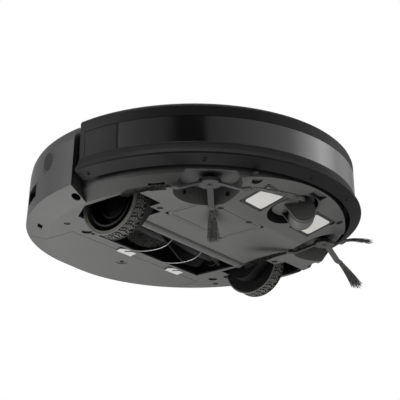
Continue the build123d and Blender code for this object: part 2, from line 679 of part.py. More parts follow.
def brush_motor():
    """Motor of the main brush."""
    body = rod_x(11.0, (-72.0, -38), MOTOR_Y, MOTOR_Z) + rod_x(3.0, (-73.4, -71.9), MOTOR_Y, MOTOR_Z)
    return body - rod_x(2.0 + RUN, (-75, -65.5), MOTOR_Y, MOTOR_Z)


def brush_guard():
    """Removable frame round the brush opening, with a sloped front band."""
    x0, x1 = BRUSH_X
    band = slab_x([(-5.2, -0.3), (-3.6, -2.0), (-0.6, -3.0), (2.6, -3.0), (5.2, -0.3)], (x0 - 1.0, x1 + 0.5))
    rear = slab_x([(55.4, -0.3), (55.4, -2.2), (60.0, -1.6), (60.8, -0.3)], (x0 - 1.0, x1 + 0.5))
    ends = block((x0 - 1.0, x0 + 4), (0, 58), (-2.0, -0.3)) + block((x1 - 3.5, x1 + 0.5), (0, 58), (-2.0, -0.3))
    return band + rear + ends


def guard_wires():
    """Steel wires across the opening that keep rugs out of the brush."""
    wires = []
    for x in GUARD_WIRES_X:
        bow = [(3.5, -1.6), (10, -6.2), (20, -8.2), (34, -7.6), (48, -4.8), (56.5, -1.6)]
        path = Spline(*[(x, y, z) for y, z in bow])
        wires.append(sweep(Plane(origin=path @ 0, z_dir=path % 0) * Circle(WIRE_R), path=path))
    return wires


def guard_latch(i):
    """Sliding tab that locks the guard, with a sunk arrow."""
    x = LATCHES_X[i]
    y0, y1 = LATCH_Y
    tab = slab([(x - 12, y0 + 3.5), (x - 9.5, y1), (x + 12, y1), (x + 9.5, y0), (x - 8, y0)], (-1.7, -0.3))
    return tab - slab([(x - 6.5, y0 - 1), (x + 3.5, y0 - 1), (x - 2.5, y0 + 6.4)], (-3, -0.9))


# ---- suction and dustbin ------------------------------------------------
def bin_outside(top):
    """Outer form of the dustbin."""
    round_body = turned([(0, 0), (FLAT_R, 0), (REAR_R, REAR_RIM_Z), (166.4, BIN_TOP), (166.2, 62), (0, 62)])
    return round_body & block((-BIN_X, BIN_X), (BIN_Y, 200), (0, top))


def dustbin_body():
    """Open-topped dustbin; its bottom and back are part of the robot's outside."""
    body = bin_outside(BIN_TOP)
    cavity = turned([(0, 2.2), (146.3, 2.2), (163.8, REAR_RIM_Z + 0.4), (163.8, 80), (0, 80)])
    body -= cavity & block((-BIN_X + 2.2, BIN_X - 2.2), (BIN_Y + 2.2, 200), (0, 80))
    body -= block((-48, 38), (BIN_Y - 2, BIN_Y + 4), (21.5, 40))
    body -= block((52, 92), (BIN_Y - 2, BIN_Y + 4), (45.5, 55.5))
    body -= block((-15.4, 15.4), (150, 180), (33.6, 44.4))
    return body - post(6.2, (-1, 0.6), *BIN_SCREW) - post(2.2, (-1, 4), *BIN_SCREW)


def dustbin_lid():
    """Flat lid of the dustbin."""
    lid = block((-BIN_X, BIN_X), (BIN_Y, 200), (BIN_TOP, BIN_TOP + 2)) & post(166.0, (0, 100))
    return lid - block((-30, 30), (100, 112), (BIN_TOP + 1.2, BIN_TOP + 3))


def filter_frame():
    """Frame of the exhaust filter inside the bin."""
    frame = block((50, 94), (BIN_Y + 2.4, BIN_Y + 12), (43.5, 57.6))
    return frame - block((52, 92), (BIN_Y, BIN_Y + 20), (45.5, 55.6))


def filter_pleats():
    """Pleated paper of the filter."""
    n = 10
    pitch = 39.6 / n
    front = [(52.2 + pitch * (i * 0.5), BIN_Y + (3.2 if i % 2 else 10.2)) for i in range(2 * n + 1)]
    back = [(x, y + 1.2) for x, y in reversed(front)]
    return slab(front + back, (45.7, 55.4))


def bin_button():
    """Push button in the back of the dustbin."""
    cap = block((-15, 15), (161.6, 166.4), (34, 44))
    return fillet(cap.edges().filter_by(Axis.Y), 3)


def bin_screw():
    """Ringed screw in the underside of the dustbin."""
    return screw(*BIN_SCREW, -0.2, 2.1, 2.3)


def fan_housing():
    """Scroll of the suction fan with its inlet duct."""
    inlet = post(15.3, (58, 64.5), *FAN)
    scroll = post(29, (45.5, 67), *FAN) - post(26, (47.5, 58.2), *FAN) - inlet
    duct = block((51, 93), (50, 71.2), (45.5, 57.6)) - post(28, (40, 70), *FAN)
    hollow = block((53, 91), (40, 72), (47.5, 55.6))
    return (scroll + duct) - hollow - inlet


def fan_motor():
    """Motor over the impeller."""
    return post(15.0, (58.6, 64.3), *FAN) - post(2.0 + RUN, (50, 63), *FAN)


def fan_impeller():
    """Backward-curved suction impeller on its shaft."""
    wheel = post(FAN_R, (48.2, 49.4), *FAN) + post(5, (49.3, 56), *FAN) + post(2.0, (55.9, 62.4), *FAN)
    blades = 9
    for i in range(blades):
        blade = Pos(13.6, 0, 52.5) * Rot(0, 0, 28) * Box(17, 1.0, 6.4)
        wheel += Pos(*FAN, 0) * Rot(0, 0, 360 * i / blades) * blade
    return wheel


# ---- electronics and trim -----------------------------------------------
def main_board():
    """Control board over the battery."""
    top = BOARD_Z + 1.6
    board = block((-62, 78), (-72, -6), (BOARD_Z, top))
    for x, y, w, d, h in ((-40, -40, 14, 14, 1.6), (0, -30, 22, 10, 9), (30, -48, 10, 10, 1.4),
                          (56, -20, 16, 12, 11), (-20, -60, 30, 6, 7)):
        board += block((x - w / 2, x + w / 2), (y - d / 2, y + d / 2), (top - 0.1, top + h))
    return board


def speaker_grille():
    """Slotted disc in the rear wall."""
    disc = Cylinder(11.0, 2.0)
    slots = 8
    for i in range(slots):
        reach = 8.6 * math.sqrt(max(0.1, 1 - ((i - 3.5) / 4.2) ** 2))
        slot = Pos((i - 3.5) * 2.3, 0, 0) * Box(1.1, 2 * reach, 4)
        disc -= Rot(0, 0, 24) * slot
    return at_angle(GRILLE_DEG, 165.5, GRILLE_Z) * Rot(0, 90, 0) * disc


def speaker():
    """Small loudspeaker behind the grille."""
    cone = Cylinder(10.5, 3) + Pos(0, 0, -4.4) * Cylinder(7, 6)
    return at_angle(GRILLE_DEG, 157.5, GRILLE_Z) * Rot(0, 90, 0) * cone


def socket_panel():
    """Recessed panel in the rear wall for the charging jack and power switch."""
    panel = Box(13.6, 33.4, 17.0) - Pos(4, 0, 0) * Box(13.6, 30.4, 14.0)
    panel -= Pos(0, 8.5, 0) * Rot(0, 90, 0) * Cylinder(3.75, 30)
    panel -= Pos(0, -6.5, 0) * Box(30, 12.6, 9.4)
    panel -= Pos(-5.3, -6.5, 0) * Cylinder(SWITCH_PIVOT_R + 0.05, 11.4)
    outline = turned([(150, 0), (REAR_R, REAR_RIM_Z), (166.6, 58), (150, 58)])
    return (at_angle(SOCKET_DEG, 160.8, SOCKET_Z + 4.5) * panel) & outline


def jack_frame():
    """Frame of the jack and switch pieces: local X points out of the wall."""
    return at_angle(SOCKET_DEG, 157.0, SOCKET_Z + 4.5)


def dc_jack():
    """Barrel of the charging jack with its centre pin."""
    body = Rot(0, 90, 0) * Cylinder(3.7, 12) - Pos(2, 0, 0) * Rot(0, 90, 0) * Cylinder(2.75, 12)
    pin = Rot(0, 90, 0) * Cylinder(0.95, 10)
    return jack_frame() * Pos(-4.5, 8.5, 0) * (body + pin)


def power_switch():
    """Rocker of the mains switch."""
    rocker = slab_x([(-5.3, -4.4), (5.3, -4.4), (5.3, 4.4), (-5.3, 4.4)], (0, 4.0))
    rocker -= Pos(8.8, 0, 0) * Cylinder(5.6, 20)
    return jack_frame() * Pos(-1.5, -6.5, 0) * (rocker + Cylinder(SWITCH_PIVOT_R, 10.8))


def cliff_sensors():
    """Dark windows of the drop sensors in the front underside."""
    return [at_angle(deg, r, z) * Box(7.0, width, 4.0) for deg, r, z, width in CLIFF_SENSORS]


def chassis_screws():
    """Screws in the underside."""
    return [screw(x, y, ramp_z(y) + 0.4, 2.6, 1.15) for x, y in screw_seats()]


def cover_screws():
    """Two screws of the battery cover."""
    return [screw(x, COVER[2] + 4.5, 0.35, 2.6, 1.2) for x in COVER_SCREWS_X]


def bump_switches():
    """Two micro switches that the bumper works."""
    switches = []
    for sx in (-1, 1):
        switches.append(at_angle(-90 + sx * 32, 147.0, 40) * Box(6, 13, 7))
    return switches


# ---- write every node ---------------------------------------------------
def build():
    """All nodes by name."""
    nodes = {
        "lower_chassis": lower_chassis(),
        "body_shell": body_shell(),
        "top_cover": top_cover(),
        "start_button": start_button(),
        "battery_cover": battery_cover(),
        "battery_pack": battery_pack(),
        "charging_contacts": charging_contacts(),
        "contact_frames": contact_frames(),
        "bumper_shell": bumper_shell(),
        "bumper_window": bumper_window(window_spans()[:1]),
        "bumper_side_windows": bumper_window(window_spans()[1:]),
        "bumper_lip": bumper_lip(),
        "bumper_screws": bumper_screws(),
        "bumper_springs": bumper_springs(),
        "bump_switches": bump_switches(),
        "caster_housing": caster_housing(),
        "caster_fork": caster_fork(),
        "caster_axle": caster_axle(),
        "caster_wheel": caster_wheel(),
        "side_brush_motors": [side_motor(s) for s in ("left", "right")],
        "brush_housing": brush_housing(),
        "roller_core": roller_core(),
        "roller_bristles": roller_rows(0, BRISTLE_R, 3.2),
        "roller_blades": roller_rows(90, BRISTLE_R - 1.3, 1.8),
        "roller_bearing": roller_bearing(),
        "brush_pulley": brush_pulley(),
        "motor_pulley": motor_pulley(),
        "drive_belt": drive_belt(),
        "brush_motor": brush_motor(),
        "brush_guard": brush_guard(),
        "guard_wires": guard_wires(),
        "guard_latch_right": guard_latch(0),
        "guard_latch_left": guard_latch(1),
        "dustbin_body": dustbin_body(),
        "dustbin_lid": dustbin_lid(),
        "dust_filter": [filter_frame(), filter_pleats()],
        "bin_button": bin_button(),
        "bin_screw": bin_screw(),
        "fan_housing": fan_housing(),
        "fan_motor": fan_motor(),
        "fan_impeller": fan_impeller(),
        "main_board": main_board(),
        "speaker": speaker(),
        "speaker_grille": speaker_grille(),
        "dc_jack": dc_jack(),
        "power_switch": power_switch(),
        "cliff_sensors": cliff_sensors(),
        "chassis_screws": chassis_screws() + cover_screws(),
    }
    for side in ("left", "right"):
        nodes[f"{side}_wheel_housing"] = wheel_housing(side)
        nodes[f"{side}_wheel_arm"] = [wheel_arm(side), arm_cover(side), wheel_motor(side)]
        nodes[f"{side}_wheel_hub"] = wheel_hub(side)
        nodes[f"{side}_tyre"] = tyre(side)
        nodes[f"{side}_side_brush"] = side_brush(side)
    nodes["suspension_pins"] = [hinge_pin(s) for s in ("left", "right")]
    nodes["suspension_springs"] = [suspension_spring(s) for s in ("left", "right")]
    return nodes


def main():
    """Write one STEP file for each node."""
    os.makedirs("parts", exist_ok=True)
    for name, shape in build().items():
        solids = []
        for piece in (shape if isinstance(shape, list) else [shape]):
            solids.extend(piece.solids())
        out = solids[0] if len(solids) == 1 else Compound(children=solids)
        export_step(out, f"parts/{name}.step")


if __name__ == "__main__":
    main()
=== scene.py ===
"""Robot vacuum shown from underneath.

Its finishes, tyre treads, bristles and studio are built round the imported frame.
"""

import json
import logging
import math
import random
from dataclasses import dataclass, field
from enum import Enum
from typing import Callable, Iterable, Sequence

import bmesh
import bpy
from mathutils import Matrix, Vector

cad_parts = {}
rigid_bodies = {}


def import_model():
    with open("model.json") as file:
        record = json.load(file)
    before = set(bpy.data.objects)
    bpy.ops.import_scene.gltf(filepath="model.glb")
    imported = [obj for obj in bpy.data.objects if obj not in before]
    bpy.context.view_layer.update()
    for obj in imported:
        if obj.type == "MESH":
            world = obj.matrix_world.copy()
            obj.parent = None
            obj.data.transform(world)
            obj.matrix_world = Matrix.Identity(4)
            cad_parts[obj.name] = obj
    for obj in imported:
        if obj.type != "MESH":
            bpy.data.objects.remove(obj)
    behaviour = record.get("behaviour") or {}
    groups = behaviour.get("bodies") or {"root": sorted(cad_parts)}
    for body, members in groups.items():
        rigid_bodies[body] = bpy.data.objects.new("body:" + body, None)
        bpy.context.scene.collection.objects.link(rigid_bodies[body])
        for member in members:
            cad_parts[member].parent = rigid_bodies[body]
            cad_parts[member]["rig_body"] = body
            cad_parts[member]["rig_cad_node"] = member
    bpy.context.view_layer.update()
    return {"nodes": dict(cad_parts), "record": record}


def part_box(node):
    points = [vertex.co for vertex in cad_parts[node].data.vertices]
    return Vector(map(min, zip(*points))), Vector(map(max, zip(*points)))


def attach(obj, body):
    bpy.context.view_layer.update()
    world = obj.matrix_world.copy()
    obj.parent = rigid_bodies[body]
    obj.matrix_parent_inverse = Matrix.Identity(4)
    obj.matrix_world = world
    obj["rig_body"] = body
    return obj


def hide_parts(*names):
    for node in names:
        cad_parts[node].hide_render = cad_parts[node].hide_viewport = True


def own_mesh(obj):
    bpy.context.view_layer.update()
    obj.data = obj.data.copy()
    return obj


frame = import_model()

MM = 0.001
log = logging.getLogger("robot_vacuum")

TURN = 2 * math.pi
Colour = tuple[float, float, float]
Node = bpy.types.Node
Socket = bpy.types.NodeSocket
Tree = bpy.types.NodeTree


def grey(level: float) -> Colour:
    """A neutral colour of one level."""
    return level, level, level


# ---- finishes -----------------------------------------------------------
class Part(Enum):
    """Finish names, as the record's material slots have them."""

    SHELL = "shell_black"
    WALL = "wall_charcoal"
    UNDERSIDE = "underside_grey"
    DECK = "deck_black"
    WINDOW = "window_black"
    BUTTON = "button_black"
    CONTACT = "contact_silver"
    CONTACT_RIM = "contact_frame"
    BATTERY = "battery_blue"
    STEEL = "steel"
    SCREW = "screw_black"
    SPRING = "spring_steel"
    SWITCH = "switch_plastic"
    INNER = "inner_black"
    CASTER = "caster_grey"
    BRUSH_LEG = "brush_legs"
    ROLLER = "roller_plastic"
    BRISTLE = "bristle_black"
    RUBBER = "rubber_black"
    BUSH = "brass"
    MOTOR = "motor_steel"
    LATCH = "latch_silver"
    FILTER = "filter_white"
    BOARD = "board_green"
    TYRE = "tyre"
    WHEEL = "wheel_plastic"


class Wiring:
    """Short ways to add and join the nodes of one tree."""

    def __init__(self, tree: Tree) -> None:
        """Keeps the tree that is wired up.

        Args:
            tree: the node tree of a material, world or group.
        """
        self.tree = tree

    def add(self, kind: str, **settings: object) -> Node:
        """Adds a node and sets its properties.

        Args:
            kind: the node's type name.
            **settings: properties of the node, by name.

        Returns:
            The new node.
        """
        node = self.tree.nodes.new(kind)
        for name, value in settings.items():
            setattr(node, name, value)
        return node

    def join(self, source: Socket, target: Socket) -> None:
        """Joins an output to an input."""
        self.tree.links.new(source, target)

    def feed(self, value: object, target: Socket) -> None:
        """Gives an input a number, a colour or an output to be joined to."""
        if isinstance(value, Socket):
            self.join(value, target)
        elif isinstance(value, tuple):
            target.default_value = (*value, 1.0)
        elif value is not None:
            target.default_value = value

    def fill(self, node: Node, **values: object) -> None:
        """Gives a node's inputs their values, by name."""
        for name, value in values.items():
            self.feed(value, node.inputs[name])

    def maths(self, operation: str, a: object, b: object = None, clamp: bool = False) -> Socket:
        """Adds one Math node.

        Args:
            operation: the node's operation.
            a: a number or an output socket.
            b: a second number or output socket, or None.
            clamp: whether the result is held between 0 and 1.

        Returns:
            The result's socket.
        """
        node = self.add("ShaderNodeMath", operation=operation, use_clamp=clamp)
        for socket, value in zip(node.inputs, (a, b)):
            self.feed(value, socket)
        return node.outputs[0]

    def times(self, a: object, b: object) -> Socket:
        """Multiplies two numbers or outputs."""
        return self.maths("MULTIPLY", a, b)

    def wander(self, base: object, pattern: Socket, swing: object) -> Socket:
        """Moves a number with a 0..1 pattern, by half the swing each way."""
        return self.maths("ADD", base, self.times(self.maths("SUBTRACT", pattern, 0.5), swing))

    def mix(self, factor: object, a: object, b: object, blend: str = "MIX") -> Socket:
        """Mixes two colours.

        Args:
            factor: a number or an output socket.
            a: the first colour, or its socket.
            b: the second colour, or its socket.
            blend: the way that they mix.

        Returns:
            The mixed colour's socket.
        """
        node = self.add("ShaderNodeMix", data_type="RGBA", blend_type=blend)
        for place, value in ((0, factor), (6, a), (7, b)):
            self.feed(value, node.inputs[place])
        return node.outputs[2]

    def dim(self, colour: object, gain: Socket) -> Socket:
        """Multiplies a colour by a number."""
        level = self.add("ShaderNodeCombineColor")
        for socket in level.inputs:
            self.join(gain, socket)
        return self.mix(1.0, colour, level.outputs[0], "MULTIPLY")

    def along(self, way: Socket, axis: Sequence[float]) -> Socket:
        """How far a direction points along an axis."""
        node = self.add("ShaderNodeVectorMath", operation="DOT_PRODUCT")
        self.join(way, node.inputs[0])
        node.inputs[1].default_value = axis
        return node.outputs["Value"]

    def local(self) -> Socket:
        """Coordinates on the piece itself, in metres."""
        return self.add("ShaderNodeTexCoord").outputs["Object"]

    def coat(self, shader: Node, colour: Socket, roughness: Socket) -> None:
        """Joins a colour and a roughness to a Principled node."""
        self.join(colour, shader.inputs["Base Color"])
        self.join(roughness, shader.inputs["Roughness"])

    def spread(self, value: Socket, low: float, high: float) -> Socket:
        """Maps low..high of a value to 0..1, and holds it there."""
        node = self.add("ShaderNodeMapRange")
        self.join(value, node.inputs["Value"])
        node.inputs["From Min"].default_value = low
        node.inputs["From Max"].default_value = high
        return node.outputs["Result"]

    def noise(self, where: Socket, scale: object, detail: float = 3.0) -> Socket:
        """Adds a noise pattern.

        Args:
            where: the coordinates.
            scale: patches a metre, or a socket with that number.
            detail: how many finer layers it has.

        Returns:
            The pattern's value.
        """
        node = self.add("ShaderNodeTexNoise")
        node.inputs["Detail"].default_value = detail
        self.join(where, node.inputs["Vector"])
        self.feed(scale, node.inputs["Scale"])
        return node.outputs["Fac"]


class Effect(Enum):
    """Shared surface effects, each one node group."""

    GRAIN = "moulded_grain"
    EDGE = "edge_rub"
    DUST = "settled_dust"
    DRAWN = "drawn_lines"
    # painted shade in deep recesses and narrow gaps
    CREVICE = "crevice_shade"


# Outputs of the effects: some give a relief, the others a mask.
RELIEF_OUT = {"Colour": "Color", "Roughness": "Float", "Height": "Float"}
MASK_OUT = {"Colour": "Color", "Mask": "Float"}
DRAW_STRETCH = (60.0, 2600.0, 2600.0)  # how the pattern of drawn metal is drawn out, along X


class EffectShop:
    """Builds each shared effect once, as a node group with named sockets."""

    def __init__(self) -> None:
        """Starts with nothing built."""
        self._built: dict[Effect, Tree] = {}

    def place(self, wiring: Wiring, effect: Effect, **values: object) -> bpy.types.NodeOutputs:
        """Puts an effect into a material.

        Args:
            wiring: the material's wiring.
            effect: which effect.
            **values: its inputs by name; numbers, colours or sockets.

        Returns:
            The outputs of the group's node.
        """
        if effect not in self._built:
            makers: dict[Effect, Callable[[], Tree]] = {
                Effect.GRAIN: self._grain,
                Effect.EDGE: self._edge,
                Effect.DUST: self._dust,
                Effect.DRAWN: self._drawn,
                Effect.CREVICE: self._crevice,
            }
            self._built[effect] = makers[effect]()
        node = wiring.add("ShaderNodeGroup", node_tree=self._built[effect])
        wiring.fill(node, **values)
        return node.outputs

    def _open(self, effect: Effect, colours: Sequence[str], numbers: dict[str, float],
              outputs: dict[str, str]) -> tuple[Wiring, bpy.types.NodeOutputs, Node]:
        """Makes an empty group with its sockets.

        Args:
            effect: the effect that it is for.
            colours: names of its colour inputs.
            numbers: names and usual values of its number inputs.
            outputs: names of its outputs, with Color, Float or Vector.

        Returns:
            The group's wiring, the inputs given to it and its output node.
        """
        tree = bpy.data.node_groups.new(effect.value, "ShaderNodeTree")
        for name in colours:
            tree.interface.new_socket(name, in_out="INPUT", socket_type="NodeSocketColor")
        for name, usual in numbers.items():
            socket = tree.interface.new_socket(name, in_out="INPUT", socket_type="NodeSocketFloat")
            socket.default_value = usual
        for name, kind in outputs.items():
            tree.interface.new_socket(name, in_out="OUTPUT", socket_type=f"NodeSocket{kind}")
        wiring = Wiring(tree)
        return wiring, wiring.add("NodeGroupInput").outputs, wiring.add("NodeGroupOutput")

    def _grain(self) -> Tree:
        """Spark-eroded mould grain with slow mottling: colour, roughness and height."""
        w, given, out = self._open(
            Effect.GRAIN, ["Colour"], {"Grain": 900.0, "Mottle": 0.12, "Roughness": 0.5}, RELIEF_OUT)
        where = w.local()
        fine = w.noise(where, given["Grain"], 4.0)
        cells = w.add("ShaderNodeTexVoronoi")
        w.fill(cells, Vector=where, Scale=w.times(given["Grain"], 1.7))
        slow = w.noise(where, 26.0, 4.0)
        flow = w.noise(where, 7.0, 2.0)
        broad = w.maths("ADD", w.times(slow, 0.6), w.times(flow, 0.4))
        patches = w.wander(1.0, broad, w.times(given["Mottle"], 3.0))
        gain = w.wander(patches, fine, given["Mottle"])
        rough = w.wander(given["Roughness"], slow, 0.22)
        height = w.maths("ADD", fine, w.times(cells.outputs["Distance"], 0.5))
        held = w.maths("MAXIMUM", rough, 0.05, clamp=True)
        w.fill(out, Colour=w.dim(given["Colour"], gain), Roughness=held, Height=height)
        return w.tree

    def _edge(self) -> Tree:
        """Lighter, smoother corners where handling rubs them, and a softened normal."""
        w, given, out = self._open(
            Effect.EDGE, ["Colour", "Rubbed"], {"Reach": 0.0005, "Amount": 0.5},
            {**MASK_OUT, "Normal": "Vector"})
        round_over = w.add("ShaderNodeBevel", samples=4)
        w.join(given["Reach"], round_over.inputs["Radius"])
        flat = w.add("ShaderNodeNewGeometry")
        facing = w.add("ShaderNodeVectorMath", operation="DOT_PRODUCT")
        w.join(round_over.outputs[0], facing.inputs[0])
        w.join(flat.outputs["Normal"], facing.inputs[1])
        edge = w.spread(w.maths("SUBTRACT", 1.0, facing.outputs["Value"]), 0.004, 0.12)
        where = w.local()
        worn = w.spread(w.noise(where, 180.0, 4.0), 0.34, 0.66)
        mask = w.maths("MULTIPLY", w.times(edge, worn), given["Amount"], clamp=True)
        rubbed = w.mix(mask, given["Colour"], given["Rubbed"])
        w.fill(out, Colour=rubbed, Mask=mask, Normal=round_over.outputs[0])
        return w.tree

    def _dust(self) -> Tree:
        """A thin film of fine dust in patches and specks."""
        w, given, out = self._open(Effect.DUST, ["Colour", "Dust"], {"Amount": 0.1}, MASK_OUT)
        where = w.local()
        film = w.spread(w.noise(where, 14.0, 6.0), 0.42, 0.74)
        specks = w.spread(w.noise(where, 1400.0, 1.0), 0.70, 0.76)
        both = w.maths("ADD", w.times(film, 0.6), w.times(specks, 0.5))
        mask = w.maths("MULTIPLY", both, given["Amount"], clamp=True)
        w.fill(out, Colour=w.mix(mask, given["Colour"], given["Dust"]), Mask=mask)
        return w.tree

    def _drawn(self) -> Tree:
        """Fine lines of drawn or brushed metal along X."""
        w, given, out = self._open(Effect.DRAWN, ["Colour"], {"Lines": 1.0, "Roughness": 0.3}, RELIEF_OUT)
        where = w.local()
        stretch = w.add("ShaderNodeMapping")
        stretch.inputs["Scale"].default_value = DRAW_STRETCH
        w.join(where, stretch.inputs["Vector"])
        lines = w.noise(stretch.outputs[0], given["Lines"], 3.0)
        patch = w.noise(where, 40.0, 3.0)
        shade = w.maths("ADD", w.times(lines, 0.22), w.times(patch, 0.12))
        rough = w.maths("MAXIMUM", w.wander(given["Roughness"], lines, 0.3), 0.06, clamp=True)
        w.fill(out, Colour=w.dim(given["Colour"], w.maths("ADD", shade, 0.83)), Roughness=rough, Height=lines)
        return w.tree

    def _crevice(self) -> Tree:
        """Painted shade: deep recesses and narrow gaps are darkened towards near black by their occlusion, in
        uneven patches.
        """
        w, given, out = self._open(Effect.CREVICE, ["Colour"], {"Reach": 0.03, "Amount": 0.9}, MASK_OUT)
        shut_in = w.add("ShaderNodeAmbientOcclusion", samples=8)
        w.join(given["Reach"], shut_in.inputs["Distance"])
        depth = w.spread(w.maths("SUBTRACT", 1.0, shut_in.outputs["AO"]), 0.14, 0.58)
        where = w.local()
        patchy = w.wander(1.0, w.noise(where, 60.0, 4.0), 0.3)
        mask = w.maths("MULTIPLY", w.times(depth, patchy), given["Amount"], clamp=True)
        # the painted shade: colour mixed towards near black where recesses are deep
        w.fill(out, Colour=w.mix(mask, given["Colour"], grey(0.002)), Mask=mask)
        return w.tree


EFFECTS = EffectShop()
HOUSE_DUST: Colour = (0.32, 0.31, 0.29)
FILTER_DUST: Colour = (0.42, 0.38, 0.32)


@dataclass(frozen=True)
class Finish:
    """What every finish has.

    Attributes:
        slot: the record's material slot.
        colour: linear base colour.
        roughness: middle roughness.
    """

    slot: Part
    colour: Colour
    roughness: float = 0.5

    def material(self) -> bpy.types.Material:
        """Makes the material."""
        material = bpy.data.materials.new(self.slot.value)
        material.use_nodes = True
        material.diffuse_color = (*self.colour, 1.0)
        self.paint(Wiring(material.node_tree), material.node_tree.nodes["Principled BSDF"])
        return material

    def paint(self, w: Wiring, shader: Node) -> None:
        """Wires up the surface; each kind of finish has its own way.

        Args:
            w: the material's wiring.
            shader: its Principled node.
        """
        raise NotImplementedError

    @staticmethod
    def relief(wiring: Wiring, shader: Node, height: Socket, depth: float,
               normal: Socket | None = None) -> None:
        """Feeds a height into the shader's normal.

        Args:
            wiring: the material's wiring.
            shader: its Principled node.
            height: the height pattern.
            depth: the relief's depth in metres.
            normal: the normal that it starts from, or None for the mesh's own.
        """
        bump = wiring.add("ShaderNodeBump")
        bump.inputs["Strength"].default_value = 0.6
        bump.inputs["Distance"].default_value = depth
        wiring.join(height, bump.inputs["Height"])
        if normal is not None:
            wiring.join(normal, bump.inputs["Normal"])
        wiring.join(bump.outputs[0], shader.inputs["Normal"])


@dataclass(frozen=True)
class MouldedPlastic(Finish):
    """Textured ABS or soft rubber, as it leaves the mould.

    Attributes:
        rubbed: colour of its rubbed corners.
        grain: grains a metre.
        depth: depth of the grain in metres.
        mottle: how far the shade wanders.
        dust: how much dust lies on it.
        reach: radius of the softened corners in metres.
        specular: specular level.
        wear: how strongly the corners are rubbed.
        shade: how dark the painted shade goes in deep recesses.
        deep: how wide a recess may be, in metres, before the painted shade stops darkening it.
    """

    rubbed: Colour = grey(0.16)
    grain: float = 1500.0
    depth: float = 0.00004
    mottle: float = 0.10
    dust: float = 0.05
    reach: float = 0.0004
    specular: float = 0.5
    wear: float = 0.35
    shade: float = 0.9
    deep: float = 0.03

    def paint(self, w: Wiring, shader: Node) -> None:
        """Wires up the surface."""
        grain = EFFECTS.place(w, Effect.GRAIN, Colour=self.colour, Grain=self.grain, Mottle=self.mottle,
                              Roughness=self.roughness)
        edge = EFFECTS.place(w, Effect.EDGE, Colour=grain["Colour"], Rubbed=self.rubbed, Reach=self.reach,
                             Amount=self.wear)
        dust = EFFECTS.place(w, Effect.DUST, Colour=edge["Colour"], Dust=HOUSE_DUST, Amount=self.dust)
        # painted shade: darkens the colour in deep recesses and narrow gaps
        painted_shade = EFFECTS.place(w, Effect.CREVICE, Colour=dust["Colour"], Amount=self.shade, Reach=self.deep)
        smoother = w.maths("SUBTRACT", grain["Roughness"], w.times(edge["Mask"], 0.15))
        duller = w.maths("ADD", smoother, w.times(dust["Mask"], 0.5), clamp=True)
        w.coat(shader, painted_shade["Colour"], duller)
        shader.inputs["Specular IOR Level"].default_value = self.specular
        self.relief(w, shader, grain["Height"], self.depth, edge["Normal"])


@dataclass(frozen=True)
class PolishedWindow(Finish):
    """Polished plastic that is black to the eye and clear to infra-red.

    Attributes:
        flow: depth of the slow moulding waves in metres.
    """

    flow: float = 0.00006

    def paint(self, w: Wiring, shader: Node) -> None:
        """Wires up the surface."""
        dust = EFFECTS.place(w, Effect.DUST, Colour=self.colour, Dust=grey(0.2), Amount=0.03)
        where = w.local()
        wipe = w.noise(where, 60.0, 5.0)
        w.coat(shader, dust["Colour"], w.wander(self.roughness, wipe, 0.10))
        shader.inputs["IOR"].default_value = 1.52
        self.relief(w, shader, w.noise(where, 22.0, 1.0), self.flow)


@dataclass(frozen=True)
class DrawnMetal(Finish):
    """Drawn, plated or blackened metal.

    Attributes:
        rubbed: colour of its rubbed corners.
        metallic: how much of it is metal.
        depth: depth of the draw lines in metres.
    """

    rubbed: Colour = grey(0.8)
    metallic: float = 1.0
    depth: float = 0.00001

    def paint(self, w: Wiring, shader: Node) -> None:
        """Wires up the surface."""
        drawn = EFFECTS.place(w, Effect.DRAWN, Colour=self.colour, Lines=1.0, Roughness=self.roughness)
        edge = EFFECTS.place(w, Effect.EDGE, Colour=drawn["Colour"], Rubbed=self.rubbed, Reach=0.0003,
                             Amount=0.5)
        w.coat(shader, edge["Colour"], drawn["Roughness"])
        shader.inputs["Metallic"].default_value = self.metallic
        self.relief(w, shader, drawn["Height"], self.depth, edge["Normal"])


@dataclass(frozen=True)
class NylonHair(Finish):
    """Bristle stock, a little lighter towards some hairs.

    Attributes:
        pale: colour of the palest hairs.
    """

    pale: Colour = (0.12, 0.12, 0.11)

    def paint(self, w: Wiring, shader: Node) -> None:
        """Wires up the surface."""
        where = w.local()
        streak = w.spread(w.noise(where, 420.0, 2.0), 0.35, 0.65)
        rough = w.wander(self.roughness, w.noise(where, 900.0, 1.0), 0.3)
        w.coat(shader, w.mix(streak, self.colour, self.pale), rough)
        self.relief(w, shader, w.noise(where, 2400.0, 2.0), 0.00003)


@dataclass(frozen=True)
class PleatedPaper(Finish):
    """Filter paper with fine fibres."""

    def paint(self, w: Wiring, shader: Node) -> None:
        """Wires up the surface."""
        grain = EFFECTS.place(
            w, Effect.GRAIN, Colour=self.colour, Grain=700.0, Mottle=0.08, Roughness=self.roughness)
        dust = EFFECTS.place(w, Effect.DUST, Colour=grain["Colour"], Dust=FILTER_DUST, Amount=0.3)
        w.coat(shader, dust["Colour"], grain["Roughness"])
        self.relief(w, shader, grain["Height"], 0.0001)


@dataclass(frozen=True)
class CircuitBoard(Finish):
    """Solder resist over copper tracks.

    Attributes:
        track: colour over the tracks.
    """

    track: Colour = (0.04, 0.26, 0.12)

    def paint(self, w: Wiring, shader: Node) -> None:
        """Wires up the surface."""
        where = w.local()
        brick = w.add("ShaderNodeTexBrick")
        w.join(where, brick.inputs["Vector"])
        brick.inputs["Scale"].default_value = 120.0
        brick.inputs["Mortar Size"].default_value = 0.06
        tracks = w.spread(brick.outputs["Fac"], 0.2, 0.8)
        rough = w.wander(self.roughness, w.noise(where, 200.0), 0.2)
        w.coat(shader, w.mix(tracks, self.colour, self.track), rough)
        self.relief(w, shader, tracks, 0.00004)


